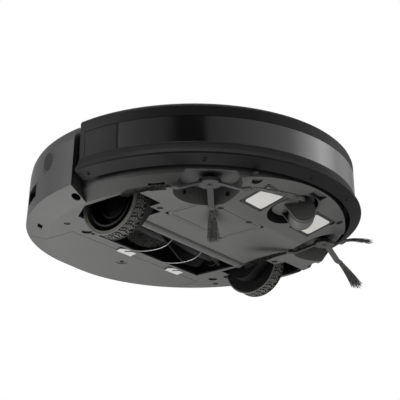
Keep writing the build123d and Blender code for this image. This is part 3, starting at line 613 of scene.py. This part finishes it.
SOFT_BLACK: dict[str, object] = dict(rubbed=grey(0.06), wear=0.3)
DEEP_BLACK: dict[str, object] = dict(rubbed=grey(0.02), wear=0.2)
# shade and deep set each finish's painted shade in recesses, such as the tyre's tread grooves
FINISHES: tuple[Finish, ...] = (
    MouldedPlastic(Part.SHELL, (0.0075, 0.0075, 0.0077), 0.58, rubbed=grey(0.05), grain=2200.0, depth=0.00003,
                   specular=0.22, dust=0.01),
    MouldedPlastic(Part.WALL, (0.036, 0.036, 0.037), 0.46, rubbed=grey(0.12), grain=2200.0, depth=0.00003),
    MouldedPlastic(Part.UNDERSIDE, (0.085, 0.085, 0.083), 0.52, rubbed=grey(0.22), grain=1800.0, deep=0.04),
    MouldedPlastic(Part.DECK, (0.020, 0.020, 0.021), 0.22, rubbed=grey(0.10), depth=0.00001, dust=0.08),
    PolishedWindow(Part.WINDOW, grey(0.006), 0.12),
    MouldedPlastic(Part.BUTTON, (0.035, 0.035, 0.036), 0.35, depth=0.00002, **SOFT_BLACK),
    DrawnMetal(Part.CONTACT, (0.95, 0.93, 0.89), 0.34, metallic=0.6),
    MouldedPlastic(Part.CONTACT_RIM, grey(0.012), 0.55, rubbed=grey(0.10)),
    MouldedPlastic(Part.BATTERY, (0.02, 0.07, 0.22), 0.3, rubbed=(0.1, 0.2, 0.4), depth=0.00002),
    DrawnMetal(Part.STEEL, (0.34, 0.34, 0.345), 0.16),
    DrawnMetal(Part.SCREW, grey(0.010), 0.50, rubbed=grey(0.10), metallic=0.3),
    DrawnMetal(Part.SPRING, (0.45, 0.45, 0.46), 0.28),
    MouldedPlastic(Part.SWITCH, (0.022, 0.022, 0.024), 0.3, depth=0.00002, **SOFT_BLACK),
    MouldedPlastic(Part.INNER, grey(0.004), 0.7, specular=0.06, dust=0.0, **DEEP_BLACK),
    MouldedPlastic(Part.CASTER, (0.085, 0.085, 0.083), 0.42, rubbed=grey(0.2), depth=0.00002),
    MouldedPlastic(Part.BRUSH_LEG, (0.036, 0.036, 0.035), 0.6, rubbed=grey(0.14), grain=1200.0),
    MouldedPlastic(Part.ROLLER, grey(0.006), 0.5, specular=0.25, dust=0.02, **DEEP_BLACK),
    NylonHair(Part.BRISTLE, (0.011, 0.011, 0.0105), 0.45),
    MouldedPlastic(Part.RUBBER, grey(0.006), 0.7, grain=900.0, specular=0.15, dust=0.01, **DEEP_BLACK),
    DrawnMetal(Part.BUSH, (0.66, 0.48, 0.20), 0.35),
    DrawnMetal(Part.MOTOR, grey(0.48), 0.34),
    MouldedPlastic(Part.LATCH, (0.62, 0.62, 0.61), 0.3, rubbed=grey(0.8), depth=0.00001, dust=0.02),
    PleatedPaper(Part.FILTER, (0.78, 0.76, 0.70), 0.8),
    CircuitBoard(Part.BOARD, (0.015, 0.13, 0.05), 0.35),
    MouldedPlastic(Part.TYRE, (0.150, 0.147, 0.131), 0.7, rubbed=(0.22, 0.22, 0.20), grain=1100.0,
                   depth=0.00006, mottle=0.2, dust=0.10, shade=1.0, deep=0.0035),
    MouldedPlastic(Part.WHEEL, grey(0.004), 0.5, specular=0.2, dust=0.01, **DEEP_BLACK),
)


@dataclass
class PaintShop:
    """Holds one material for each finish and puts it on pieces.

    Attributes:
        materials: the materials by slot.
    """

    materials: dict[Part, bpy.types.Material] = field(default_factory=dict)

    def mix_all(self) -> None:
        """Makes every finish's material."""
        for finish in FINISHES:
            self.materials[finish.slot] = finish.material()
            log.info("finish %s mixed", finish.slot.value)

    def dress_frame(self) -> None:
        """Gives each CAD node the finish that the record names for it."""
        slots = {entry["node"]: Part(entry["material_slot"]) for entry in frame["record"]["subparts"]}
        for name, node in frame["nodes"].items():
            for place in node.material_slots:
                place.material = self.materials[slots[name]]
            log.info("node %s finished as %s", name, slots[name].value)

    def dress(self, piece: bpy.types.Object, part: Part) -> None:
        """Gives a new piece its finish.

        Args:
            piece: the piece.
            part: its finish.
        """
        piece.data.materials.clear()
        piece.data.materials.append(self.materials[part])


# ---- mesh work ----------------------------------------------------------
HAIR_TAPER = 0.45  # share of its thickness that a hair loses by its tip
HAIR_CORNERS = (0.0, 2.094, 4.189)  # angles of its three corners
SKEW = Vector((0.13, 0.21, 0.97))  # a direction that no hair points along


@dataclass
class MeshBench:
    """Collects vertices and faces in millimetres, and turns them into a piece in metres.

    Attributes:
        name: the piece's name.
        points: its vertices.
        faces: its faces.
    """

    name: str
    points: list[Vector] = field(default_factory=list)
    faces: list[tuple[int, ...]] = field(default_factory=list)

    def ring_strip(self, rings: Sequence[Sequence[Vector]], looped: bool = False) -> None:
        """Joins rings of equal length into a tube with closed ends, or into a loop.

        Args:
            rings: the rings, one after the other.
            looped: whether the last ring joins the first one.
        """
        start, n = len(self.points), len(rings[0])
        for ring in rings:
            self.points.extend(ring)
        for i in range(len(rings) if looped else len(rings) - 1):
            here, there = start + i * n, start + (i + 1) % len(rings) * n
            for j in range(n):
                k = (j + 1) % n
                self.faces.append((here + j, here + k, there + k, there + j))
        if not looped:
            self.faces.append(tuple(start + j for j in reversed(range(n))))
            self.faces.append(tuple(start + (len(rings) - 1) * n + j for j in range(n)))

    def lathe_x(self, profile: Sequence[tuple[float, float]], centre: Vector, steps: int) -> None:
        """Turns a closed profile about an axis along X.

        Args:
            profile: (x, radius) points of the closed outline.
            centre: a point on the axis.
            steps: how many steps a full turn has.
        """
        rings = []
        for i in range(steps):
            a = TURN * i / steps
            rings.append([centre + Vector((x, r * math.cos(a), r * math.sin(a))) for x, r in profile])
        self.ring_strip(rings, looped=True)

    def hair(self, root: Vector, path: Sequence[Vector], thick: float) -> None:
        """Adds one three-sided tapering hair.

        Args:
            root: where it is set.
            path: its further points.
            thick: its thickness at the root, in millimetres.
        """
        line = [root, *path]
        rings = []
        for i, point in enumerate(line):
            ahead = line[min(i + 1, len(line) - 1)] - line[max(i - 1, 0)]
            side = ahead.cross(SKEW).normalized()
            other = ahead.cross(side).normalized()
            r = thick / 2 * (1 - HAIR_TAPER * i / (len(line) - 1))
            rings.append([point + side * (r * math.cos(t)) + other * (r * math.sin(t)) for t in HAIR_CORNERS])
        self.ring_strip(rings)

    def piece(self, smooth_deg: float = 35.0) -> bpy.types.Object:
        """Makes the object.

        Args:
            smooth_deg: corners sharper than this stay sharp.

        Returns:
            The new object, in metres.
        """
        mesh = bpy.data.meshes.new(self.name)
        mesh.from_pydata([p * MM for p in self.points], [], self.faces)
        mesh.validate()
        work = bmesh.new()
        work.from_mesh(mesh)
        bmesh.ops.recalc_face_normals(work, faces=work.faces)
        work.to_mesh(mesh)
        work.free()
        mesh.shade_smooth()
        mesh.set_sharp_from_angle(angle=math.radians(smooth_deg))
        piece = bpy.data.objects.new(self.name, mesh)
        bpy.context.scene.collection.objects.link(piece)
        return piece


def middle(node: str) -> Vector:
    """Centre of a CAD node's box, in millimetres."""
    low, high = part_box(node)
    return (low + high) / 2 / MM


def lumps(mesh: bpy.types.Mesh) -> list[set[int]]:
    """Splits a mesh into its separate solids.

    Args:
        mesh: the mesh, whose corners may be doubled along sharp edges.

    Returns:
        The vertex numbers of each solid.
    """
    work = bmesh.new()
    work.from_mesh(mesh)
    first: dict[tuple[int, int, int], int] = {}
    parent = list(range(len(work.verts)))

    def root(i: int) -> int:
        """Follows a vertex to its group's first one."""
        while parent[i] != i:
            parent[i] = parent[parent[i]]
            i = parent[i]
        return i

    for vert in work.verts:
        key = tuple(round(c * 1e6) for c in vert.co)
        parent[root(vert.index)] = root(first.setdefault(key, vert.index))
    for edge in work.edges:
        parent[root(edge.verts[0].index)] = root(edge.verts[1].index)
    groups: dict[int, set[int]] = {}
    for i in range(len(parent)):
        groups.setdefault(root(i), set()).add(i)
    work.free()
    return list(groups.values())


def copy_node(node: str, name: str) -> bpy.types.Object:
    """Copies a CAD node into a free piece.

    Args:
        node: the CAD node.
        name: the piece's name.

    Returns:
        The piece, in the node's place.
    """
    piece = frame["nodes"][node].copy()
    piece.data = frame["nodes"][node].data.copy()
    piece.name = name
    piece.data.name = name
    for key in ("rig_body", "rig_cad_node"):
        del piece[key]
    piece.parent = None
    bpy.context.scene.collection.objects.link(piece)
    return piece


# ---- bumper springs -----------------------------------------------------
@dataclass
class BumperSprings:
    """The two coils behind the bumper, mounted on the base.

    Attributes:
        node: the CAD node.
        closed: share of their length left when the bumper is fully in; not used.
    """

    node: str = "bumper_springs"
    closed: float = 0.33

    def build(self, shop: PaintShop) -> None:
        """Builds, dresses and mounts the coils.

        Args:
            shop: the finishes.
        """
        piece = copy_node(self.node, "bumper_coils")
        shop.dress(piece, Part.SPRING)
        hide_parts(self.node)
        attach(piece, "base")
        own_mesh(piece)


# ---- drive wheels -------------------------------------------------------
@dataclass(frozen=True)
class Knob:
    """One knob of the tread; its mirror stands on the other half of the tyre.

    Attributes:
        inner: how far its inner edge is from the tyre's middle, in millimetres.
        outer: how far its outer edge is from there; below zero, from the tyre's side.
        corners: where its four corners are along the tread, in pitches.
        along: how far round it stands, in half pitches.
        foot: how much deeper its foot goes than the others', in millimetres.
        drop: how far its top lies below the tyre's radius, in millimetres.
    """

    inner: float
    outer: float
    corners: tuple[float, float, float, float]
    along: float
    foot: float
    drop: float


TREAD = (
    Knob(0.5, 3.3, (-0.30, -0.02, 0.36, 0.12), 0.0, 0.0, 0.0),
    Knob(3.9, 5.9, (-0.34, -0.24, 0.20, 0.08), 0.8, 0.0, 0.1),
    Knob(6.3, -0.6, (-0.26, -0.18, 0.22, 0.30), 0.3, 0.5, 0.3),
)


@dataclass
class DriveTyre:
    """Knobbly rubber tyre of one drive wheel.

    Attributes:
        side: left or right.
        pitches: how many times the tread repeats round the wheel.
        groove: depth of the tread in millimetres.
        shoulder: how far the carcass is rounded at its edges.
    """

    side: str
    pitches: int = 46
    groove: float = 1.5
    shoulder: float = 2.2

    @property
    def node(self) -> str:
        """Name of the CAD node that it stands for."""
        return f"{self.side}_tyre"

    def sizes(self) -> tuple[Vector, float, float]:
        """Centre, outer radius and width, from the frame, in millimetres."""
        low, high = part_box(self.node)
        return middle(self.node), (high.z - low.z) / 2 / MM, (high.x - low.x) / MM

    def carcass(self, bench: MeshBench, bore: float) -> None:
        """Adds the ring under the tread, with a fine bead at each sidewall.

        Args:
            bench: the mesh being made.
            bore: the hub's radius.
        """
        centre, outer, width = self.sizes()
        half, crown, s = width / 2, outer - self.groove, self.shoulder
        right = [(half - 0.9, bore), (half - 0.2, bore + 0.5), (half, bore + 1.2), (half - 0.1, bore + 2.0),
                 (half - 0.7, bore + 2.5), (half - 0.7, crown - s), (half - s * 0.45, crown - s * 0.3),
                 (half - s, crown), (half * 0.4, crown + 0.1)]
        profile = right + [(-x, r) for x, r in reversed(right)]
        bench.lathe_x(profile, centre, 144)

    def block(self, bench: MeshBench, outline: Sequence[tuple[float, float]], turn: float, low: float,
              high: float) -> None:
        """Adds one knob of the tread.

        Args:
            bench: the mesh being made.
            outline: its outline as (across, along) in millimetres.
            turn: the angle of its place on the wheel.
            low: radius of its foot.
            high: radius of its top.
        """
        centre, outer, _ = self.sizes()
        mid = Vector((sum(u for u, _ in outline) / len(outline), sum(v for _, v in outline) / len(outline)))

        def at(u: float, v: float, r: float) -> Vector:
            """A point across u, along v at radius r."""
            a = turn + v / outer
            return centre + Vector((u, r * math.cos(a), r * math.sin(a)))

        def ring(grow: float, r: float) -> list[Vector]:
            """The outline grown about its middle."""
            return [at(mid.x + (u - mid.x) * grow, mid.y + (v - mid.y) * grow, r) for u, v in outline]

        bench.ring_strip([ring(1.12, low), ring(1.0, high - 0.25), ring(0.84, high)])

    def build(self, shop: PaintShop) -> None:
        """Builds, dresses and mounts the tyre.

        Args:
            shop: the finishes.
        """
        bench = MeshBench(f"{self.side}_tread")
        _, outer, width = self.sizes()
        hub_low, hub_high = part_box(f"{self.side}_wheel_hub")
        bore = (hub_high.z - hub_low.z) / 2 / MM
        self.carcass(bench, bore)
        step = TURN * outer / self.pitches
        half, low = width / 2, outer - self.groove - 0.3
        for i in range(self.pitches):
            turn = TURN * i / self.pitches
            shift = (i % 2) * 0.5
            for s in (-1, 1):
                for knob in TREAD:
                    edge = knob.outer if knob.outer > 0 else half + knob.outer
                    across = (knob.inner, edge, edge, knob.inner)
                    outline = [(s * u, step * v) for u, v in zip(across, knob.corners)]
                    place = turn + math.pi / self.pitches * (knob.along + shift)
                    self.block(bench, outline, place, low - knob.foot, outer - knob.drop)
        piece = bench.piece(30.0)
        shop.dress(piece, Part.TYRE)
        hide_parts(self.node)
        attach(piece, f"{self.side}_wheel")
        log.info("%s: %d knobs on a %.1f mm tyre", piece.name, self.pitches * 6, outer * 2)


# ---- side brushes -------------------------------------------------------
SCREW_SIZE = 0.008  # a hub screw is smaller than this, in metres


@dataclass
class SideBrush:
    """One side brush: its moulded hub and legs, screw and three tufts of hair.

    Attributes:
        side: left or right.
        hairs: hairs in each tuft.
        reach: distance from the hub to the longest hair's tip, in millimetres.
        fan: half width of a tuft at its tips.
        sag: how far the hair tips hang below the plain tuft, in millimetres.
        seed: start of its random draws.
        sunk: how far inside the leg the hairs start, in millimetres.
        root: half width of a tuft where it leaves the leg.
        clumps: bunches that a tuft parts into.
        thick: thickness of a hair.
    """

    side: str
    hairs: int = 120
    reach: float = 88.0
    fan: float = 6.0
    sag: float = 5.0
    seed: int = 11
    sunk: float = 3.5
    root: float = 2.3
    clumps: int = 7
    thick: float = 0.5

    @property
    def node(self) -> str:
        """Name of the CAD node that it stands for."""
        return f"{self.side}_side_brush"

    def solids(self) -> tuple[list[set[int]], list[set[int]], list[set[int]]]:
        """Sorts the CAD node's solids.

        Returns:
            The hub, the screw and the tufts, as sets of vertex numbers.
        """
        mesh = frame["nodes"][self.node].data
        groups = lumps(mesh)

        def size(group: set[int]) -> float:
            """Longest side of a group's box in plan."""
            spots = [mesh.vertices[i].co for i in group]
            return max(max(s[a] for s in spots) - min(s[a] for s in spots) for a in (0, 1))

        hub = max(groups, key=size)
        rest = [g for g in groups if g is not hub]
        screws = [g for g in rest if size(g) < SCREW_SIZE]
        tufts = [g for g in rest if g not in screws]
        return [hub], screws, tufts

    def keep(self, groups: Iterable[set[int]], name: str) -> bpy.types.Object:
        """Copies some of the CAD node's solids into a piece of their own.

        Args:
            groups: the solids that stay.
            name: the piece's name.

        Returns:
            The piece.
        """
        piece = copy_node(self.node, name)
        wanted = set().union(*groups)
        work = bmesh.new()
        work.from_mesh(piece.data)
        work.verts.ensure_lookup_table()
        bmesh.ops.delete(work, geom=[v for v in work.verts if v.index not in wanted], context="VERTS")
        work.to_mesh(piece.data)
        work.free()
        return piece

    def tuft(self, bench: MeshBench, group: set[int], hub: Vector, draw: random.Random) -> None:
        """Adds the hairs of one tuft, from the leg's end outwards.

        Args:
            bench: the mesh being made.
            group: vertex numbers of the plain CAD tuft.
            hub: the brush's centre.
            draw: random draws.
        """
        mesh = frame["nodes"][self.node].data
        spots = [mesh.vertices[i].co / MM for i in group]
        spots.sort(key=lambda p: (p.xy - hub.xy).length)
        share = max(1, len(spots) // 2)
        near = sum(spots[:share], Vector()) / share
        far = sum(spots[-share:], Vector()) / share
        out = (far - near).normalized()
        across = out.cross(Vector((0, 0, 1))).normalized()
        up = across.cross(out).normalized()
        start = near - out * self.sunk
        length = self.reach - (start.xy - hub.xy).length
        for i in range(self.hairs):
            clump = (i % self.clumps) / 3.0 - 1.0
            u = max(-1.0, min(1.0, clump * 0.8 + draw.gauss(0, 0.22)))
            h = draw.uniform(-1, 1)
            bow = draw.gauss(0, 0.35)
            droop = draw.gauss(0.0, 0.5)
            reach = length * draw.uniform(0.84, 1.0) * (1.0 - 0.06 * abs(u))
            path = []
            for k in range(1, 6):
                t = k / 5
                spread = u * (self.root + (self.fan - self.root) * t ** 1.25) + bow * math.sin(math.pi * t)
                lift = h * (0.7 + 0.9 * t) + (droop - self.sag) * t * t
                path.append(start + out * (reach * t) + across * spread + up * lift)
            bench.hair(start + across * (u * self.root) + up * (h * 0.7), path, self.thick)

    def build(self, shop: PaintShop) -> None:
        """Builds, dresses and mounts the brush.

        Args:
            shop: the finishes.
        """
        hub, screws, tufts = self.solids()
        body = self.keep(hub, f"{self.side}_brush_hub")
        shop.dress(body, Part.BRUSH_LEG)
        spots = [frame["nodes"][self.node].data.vertices[i].co for g in screws for i in g]
        centre = sum(spots, Vector()) / len(spots) / MM
        draw = random.Random(self.seed)
        bench = MeshBench(f"{self.side}_brush_hair")
        for group in tufts:
            self.tuft(bench, group, centre, draw)
        hair = bench.piece(60.0)
        shop.dress(hair, Part.BRISTLE)
        screw = self.keep(screws, f"{self.side}_brush_screw")
        shop.dress(screw, Part.SCREW)
        for piece in (body, hair, screw):
            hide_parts(self.node)
            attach(piece, self.node)
        log.info("%s: %d hairs in %d tufts", hair.name, self.hairs * len(tufts), len(tufts))


# ---- main brush ---------------------------------------------------------
@dataclass
class RollerHair:
    """Rows of bristles wound round the main brush.

    Attributes:
        node: the plain CAD fins that they stand for.
        core_r: radius of the core.
        hair_r: radius of the hair tips.
        pitch: distance between tufts along a row.
        per_tuft: hairs in each tuft.
        thick: thickness of a hair.
        end: how far from the end of a fin its end corners may be.
    """

    node: str = "roller_bristles"
    core_r: float = 7.6
    hair_r: float = 21.2
    pitch: float = 1.5
    per_tuft: int = 4
    thick: float = 0.42
    end: float = 0.2

    def build(self, shop: PaintShop) -> None:
        """Builds, dresses and mounts the rows.

        Args:
            shop: the finishes.
        """
        bench = MeshBench("roller_hair")
        mesh = frame["nodes"][self.node].data
        core_low, core_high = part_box("roller_core")
        axis = (core_low + core_high) / 2 / MM
        draw = random.Random(5)
        rows = lumps(mesh)
        for group in rows:
            spots = [mesh.vertices[i].co / MM for i in group]
            x0, x1 = min(s.x for s in spots), max(s.x for s in spots)
            turns = []
            for x in (x0, x1):
                last = [s for s in spots if abs(s.x - x) < self.end]
                tip = max(last, key=lambda s: (s.yz - axis.yz).length)
                turns.append(math.atan2(tip.z - axis.z, tip.y - axis.y))
            twist = self.unwind(spots, axis, x0, x1, turns)
            for k in range(int((x1 - x0) / self.pitch)):
                x = x0 + (k + 0.5) * self.pitch
                a = turns[0] + twist * (x - x0) / (x1 - x0)
                for _ in range(self.per_tuft):
                    b = a + draw.gauss(0, 0.035)
                    tip_a = b + draw.gauss(0, 0.05)
                    lean = draw.gauss(0, 0.5)
                    line = []
                    for t in (0.0, 0.5, 1.0):
                        r = self.core_r + (self.hair_r * draw.uniform(0.965, 1.0) - self.core_r) * t
                        c = b + (tip_a - b) * t
                        spot = (x + lean * t, axis.y + r * math.cos(c), axis.z + r * math.sin(c))
                        line.append(Vector(spot))
                    bench.hair(line[0], line[1:], self.thick)
        piece = bench.piece(60.0)
        shop.dress(piece, Part.BRISTLE)
        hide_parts(self.node)
        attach(piece, "main_brush")
        log.info("%s: %d rows", piece.name, len(rows))

    @staticmethod
    def unwind(
            spots: Sequence[Vector], axis: Vector, x0: float, x1: float, turns: Sequence[float]) -> float:
        """Finds how far a row winds round the roller, with its sign.

        Args:
            spots: the fin's vertices.
            axis: a point on the roller's axis.
            x0: the fin's start.
            x1: the fin's end.
            turns: the tip's angle at each end.

        Returns:
            The winding in radians.
        """
        gap = (turns[1] - turns[0]) % TURN
        choices = (gap, gap - TURN)
        rim = [s for s in spots if (s.yz - axis.yz).length > 20 and x0 + 15 < s.x < x0 + 60]

        def miss(twist: float) -> float:
            """How far the fin's rim lies from this winding."""
            total = 0.0
            for s in rim:
                a = turns[0] + twist * (s.x - x0) / (x1 - x0)
                total += 1 - math.cos(math.atan2(s.z - axis.z, s.y - axis.y) - a)
            return total

        return min(choices, key=miss)


# ---- studio -------------------------------------------------------------
# Brightness of the room by direction: degrees from the camera's own, counted to the camera's right.
ROOM_GLOW: tuple[tuple[float, float], ...] = (
    (-120.0, 0.5), (-66.0, 0.9), (-40.0, 0.62), (-19.0, 0.36), (-10.0, 0.04), (7.0, 0.03), (11.0, 0.42),
    (32.0, 0.7), (70.0, 1.35), (100.0, 4.2), (118.0, 1.5), (150.0, 0.4))
ROOM_PEAK = 4.2
ROOM_BACK = 0.25  # the same, at the start of the ramp
FLOOR_HALF = 60000.0  # half the floor's width, in millimetres
FLOOR_FACE = (0.86, 0.86, 0.85)
SENSOR_MM = 36.0
CLIP_NEAR, CLIP_FAR = 0.01, 120.0


@dataclass(frozen=True)
class SoftBox:
    """One soft light.

    Attributes:
        name: the light's name.
        spot: where it stands, in metres.
        size: its width and height.
        watts: its power.
    """

    name: str
    spot: tuple[float, float, float]
    size: tuple[float, float]
    watts: float

    def build(self, target: Vector) -> None:
        """Puts the light up, turned to the target."""
        lamp = bpy.data.lights.new(self.name, "AREA")
        lamp.shape = "RECTANGLE"
        lamp.size, lamp.size_y = self.size
        lamp.energy = self.watts
        stand = bpy.data.objects.new(self.name, lamp)
        stand.location = self.spot
        stand.rotation_euler = (target - Vector(self.spot)).to_track_quat("-Z", "Y").to_euler()
        bpy.context.scene.collection.objects.link(stand)
        log.info("light %s: %.1f W", self.name, self.watts)


@dataclass
class Studio:
    """Pale floor, plain white surroundings, soft lights and the camera.

    Attributes:
        azimuth: the camera's direction round the object, in degrees.
        elevation: its height angle; below zero looks up.
        roll: how far it is tilted about its own line of sight.
        distance: from the object's middle, in metres.
        middle_z: height of the point that it is turned to.
        lens: focal length in millimetres.
        shift: how far the view is shifted.
        floor_z: height of the floor.
        ambient: strength of the surroundings as light.
    """

    azimuth: float = -52.49
    elevation: float = -21.86
    roll: float = -0.13
    distance: float = 1.012
    middle_z: float = 0.03534
    lens: float = 88.6
    shift: tuple[float, float] = (0.01725, 0.0295)
    floor_z: float = -1.6
    ambient: float = 0.25

    def back(self) -> Vector:
        """Direction from the object to the camera."""
        a, e = math.radians(self.azimuth), math.radians(self.elevation)
        return Vector((math.sin(a) * math.cos(e), -math.cos(a) * math.cos(e), math.sin(e)))

    def camera(self) -> None:
        """Sets up the camera."""
        eye = bpy.data.cameras.new("camera")
        eye.lens = self.lens
        eye.sensor_width = SENSOR_MM
        eye.shift_x, eye.shift_y = self.shift
        eye.clip_start, eye.clip_end = CLIP_NEAR, CLIP_FAR
        stand = bpy.data.objects.new("camera", eye)
        stand.location = Vector((0, 0, self.middle_z)) + self.back() * self.distance
        turn = (-self.back()).to_track_quat("-Z", "Y").to_matrix().to_4x4()
        stand.rotation_euler = (turn @ Matrix.Rotation(math.radians(self.roll), 4, "Z")).to_euler()
        bpy.context.scene.collection.objects.link(stand)
        bpy.context.scene.camera = stand

    def floor(self) -> None:
        """Lays the pale floor."""
        bench = MeshBench("floor")
        signs = ((-1, -1), (1, -1), (1, 1), (-1, 1))
        bench.points = [Vector((x * FLOOR_HALF, y * FLOOR_HALF, self.floor_z / MM)) for x, y in signs]
        bench.faces = [(0, 1, 2, 3)]
        piece = bench.piece()
        material = bpy.data.materials.new("studio_floor")
        material.use_nodes = True
        w = Wiring(material.node_tree)
        shader = material.node_tree.nodes["Principled BSDF"]
        grain = EFFECTS.place(w, Effect.GRAIN, Colour=FLOOR_FACE, Grain=60.0, Mottle=0.01, Roughness=0.8)
        w.coat(shader, grain["Colour"], grain["Roughness"])
        piece.data.materials.append(material)

    def surroundings(self) -> None:
        """Plain white to look at, and a softer, uneven light on the object."""
        world = bpy.data.worlds.new("studio")
        bpy.context.scene.world = world
        world.use_nodes = True
        w = Wiring(world.node_tree)
        light = world.node_tree.nodes["Background"]
        out = world.node_tree.nodes["World Output"]
        way = w.add("ShaderNodeTexCoord").outputs["Generated"]
        glow = w.spread(w.along(way, tuple(-self.back())), -0.6, 1.0)
        soft = w.mix(glow, grey(0.25 * self.ambient), grey(self.ambient))
        w.join(w.mix(self.band_of_room(w, way), soft, self.room_round(w, way)), light.inputs["Color"])
        light.inputs["Strength"].default_value = 1.0
        seen = w.add("ShaderNodeBackground")
        w.feed(grey(1.0), seen.inputs["Color"])
        seen.inputs["Strength"].default_value = 1.0
        choose = w.add("ShaderNodeMixShader")
        w.join(w.add("ShaderNodeLightPath").outputs["Is Camera Ray"], choose.inputs[0])
        w.join(light.outputs[0], choose.inputs[1])
        w.join(seen.outputs[0], choose.inputs[2])
        w.join(choose.outputs[0], out.inputs["Surface"])

    def room_round(self, w: Wiring, way: Socket) -> Socket:
        """Brightness of the room's walls by direction, for the polished windows to mirror.

        Args:
            w: the world's wiring.
            way: the direction looked in.

        Returns:
            A colour socket.
        """
        a = math.radians(self.azimuth)
        ahead = w.along(way, (math.sin(a), -math.cos(a), 0.0))
        aside = w.along(way, (math.cos(a), math.sin(a), 0.0))
        turn = w.maths("ARCTAN2", aside, ahead)
        along = w.maths("ADD", w.times(turn, 0.5 / math.pi), 0.5)
        walls = w.add("ShaderNodeValToRGB")
        w.join(along, walls.inputs[0])
        band = walls.color_ramp.elements
        while len(band) > 1:
            band.remove(band[0])
        band[0].position = 0.0
        band[0].color = (*grey(ROOM_BACK), 1.0)
        for degrees, glow in ROOM_GLOW:
            stop = band.new(0.5 + degrees / 360.0)
            stop.color = (*grey(glow / ROOM_PEAK), 1.0)
        return w.mix(1.0, walls.outputs[0], grey(ROOM_PEAK), "MULTIPLY")

    def band_of_room(self, w: Wiring, way: Socket) -> Socket:
        """Mask of the directions a little above level, where the room's walls are seen in the windows."""
        parts = w.add("ShaderNodeSeparateXYZ")
        w.join(way, parts.inputs[0])
        rise = w.spread(parts.outputs["Z"], 0.20, 0.28)
        fall = w.spread(parts.outputs["Z"], 0.50, 0.62)
        return w.times(rise, w.maths("SUBTRACT", 1.0, fall))

    def build(self) -> None:
        """Sets up the whole studio."""
        self.camera()
        self.floor()
        self.surroundings()
        target = Vector((0, 0, self.middle_z))
        for box in (
            SoftBox("key_below_rear", (0.02, 0.46, -0.60), (0.8, 0.8), 4.5),
            SoftBox("fill_below_front", (0.9, -0.6, -1.3), (1.2, 1.2), 1.0),
            SoftBox("side_left", (-1.5, 0.9, 0.5), (1.0, 1.4), 15.0),
            SoftBox("top", (0.2, 0.2, 1.9), (1.6, 1.6), 30.0),
        ):
            box.build(target)
        bpy.context.scene.view_settings.view_transform = "Standard"
        bpy.context.scene.view_settings.look = "None"


def main() -> None:
    """Builds every piece in order."""
    logging.basicConfig(level=logging.INFO, format="%(name)s: %(message)s", force=True)
    shop = PaintShop()
    shop.mix_all()
    shop.dress_frame()
    for side in ("left", "right"):
        DriveTyre(side).build(shop)
    SideBrush("left", seed=23).build(shop)
    SideBrush("right", seed=11).build(shop)
    RollerHair().build(shop)
    BumperSprings().build(shop)
    Studio().build()


if __name__ == "__main__":
    main()
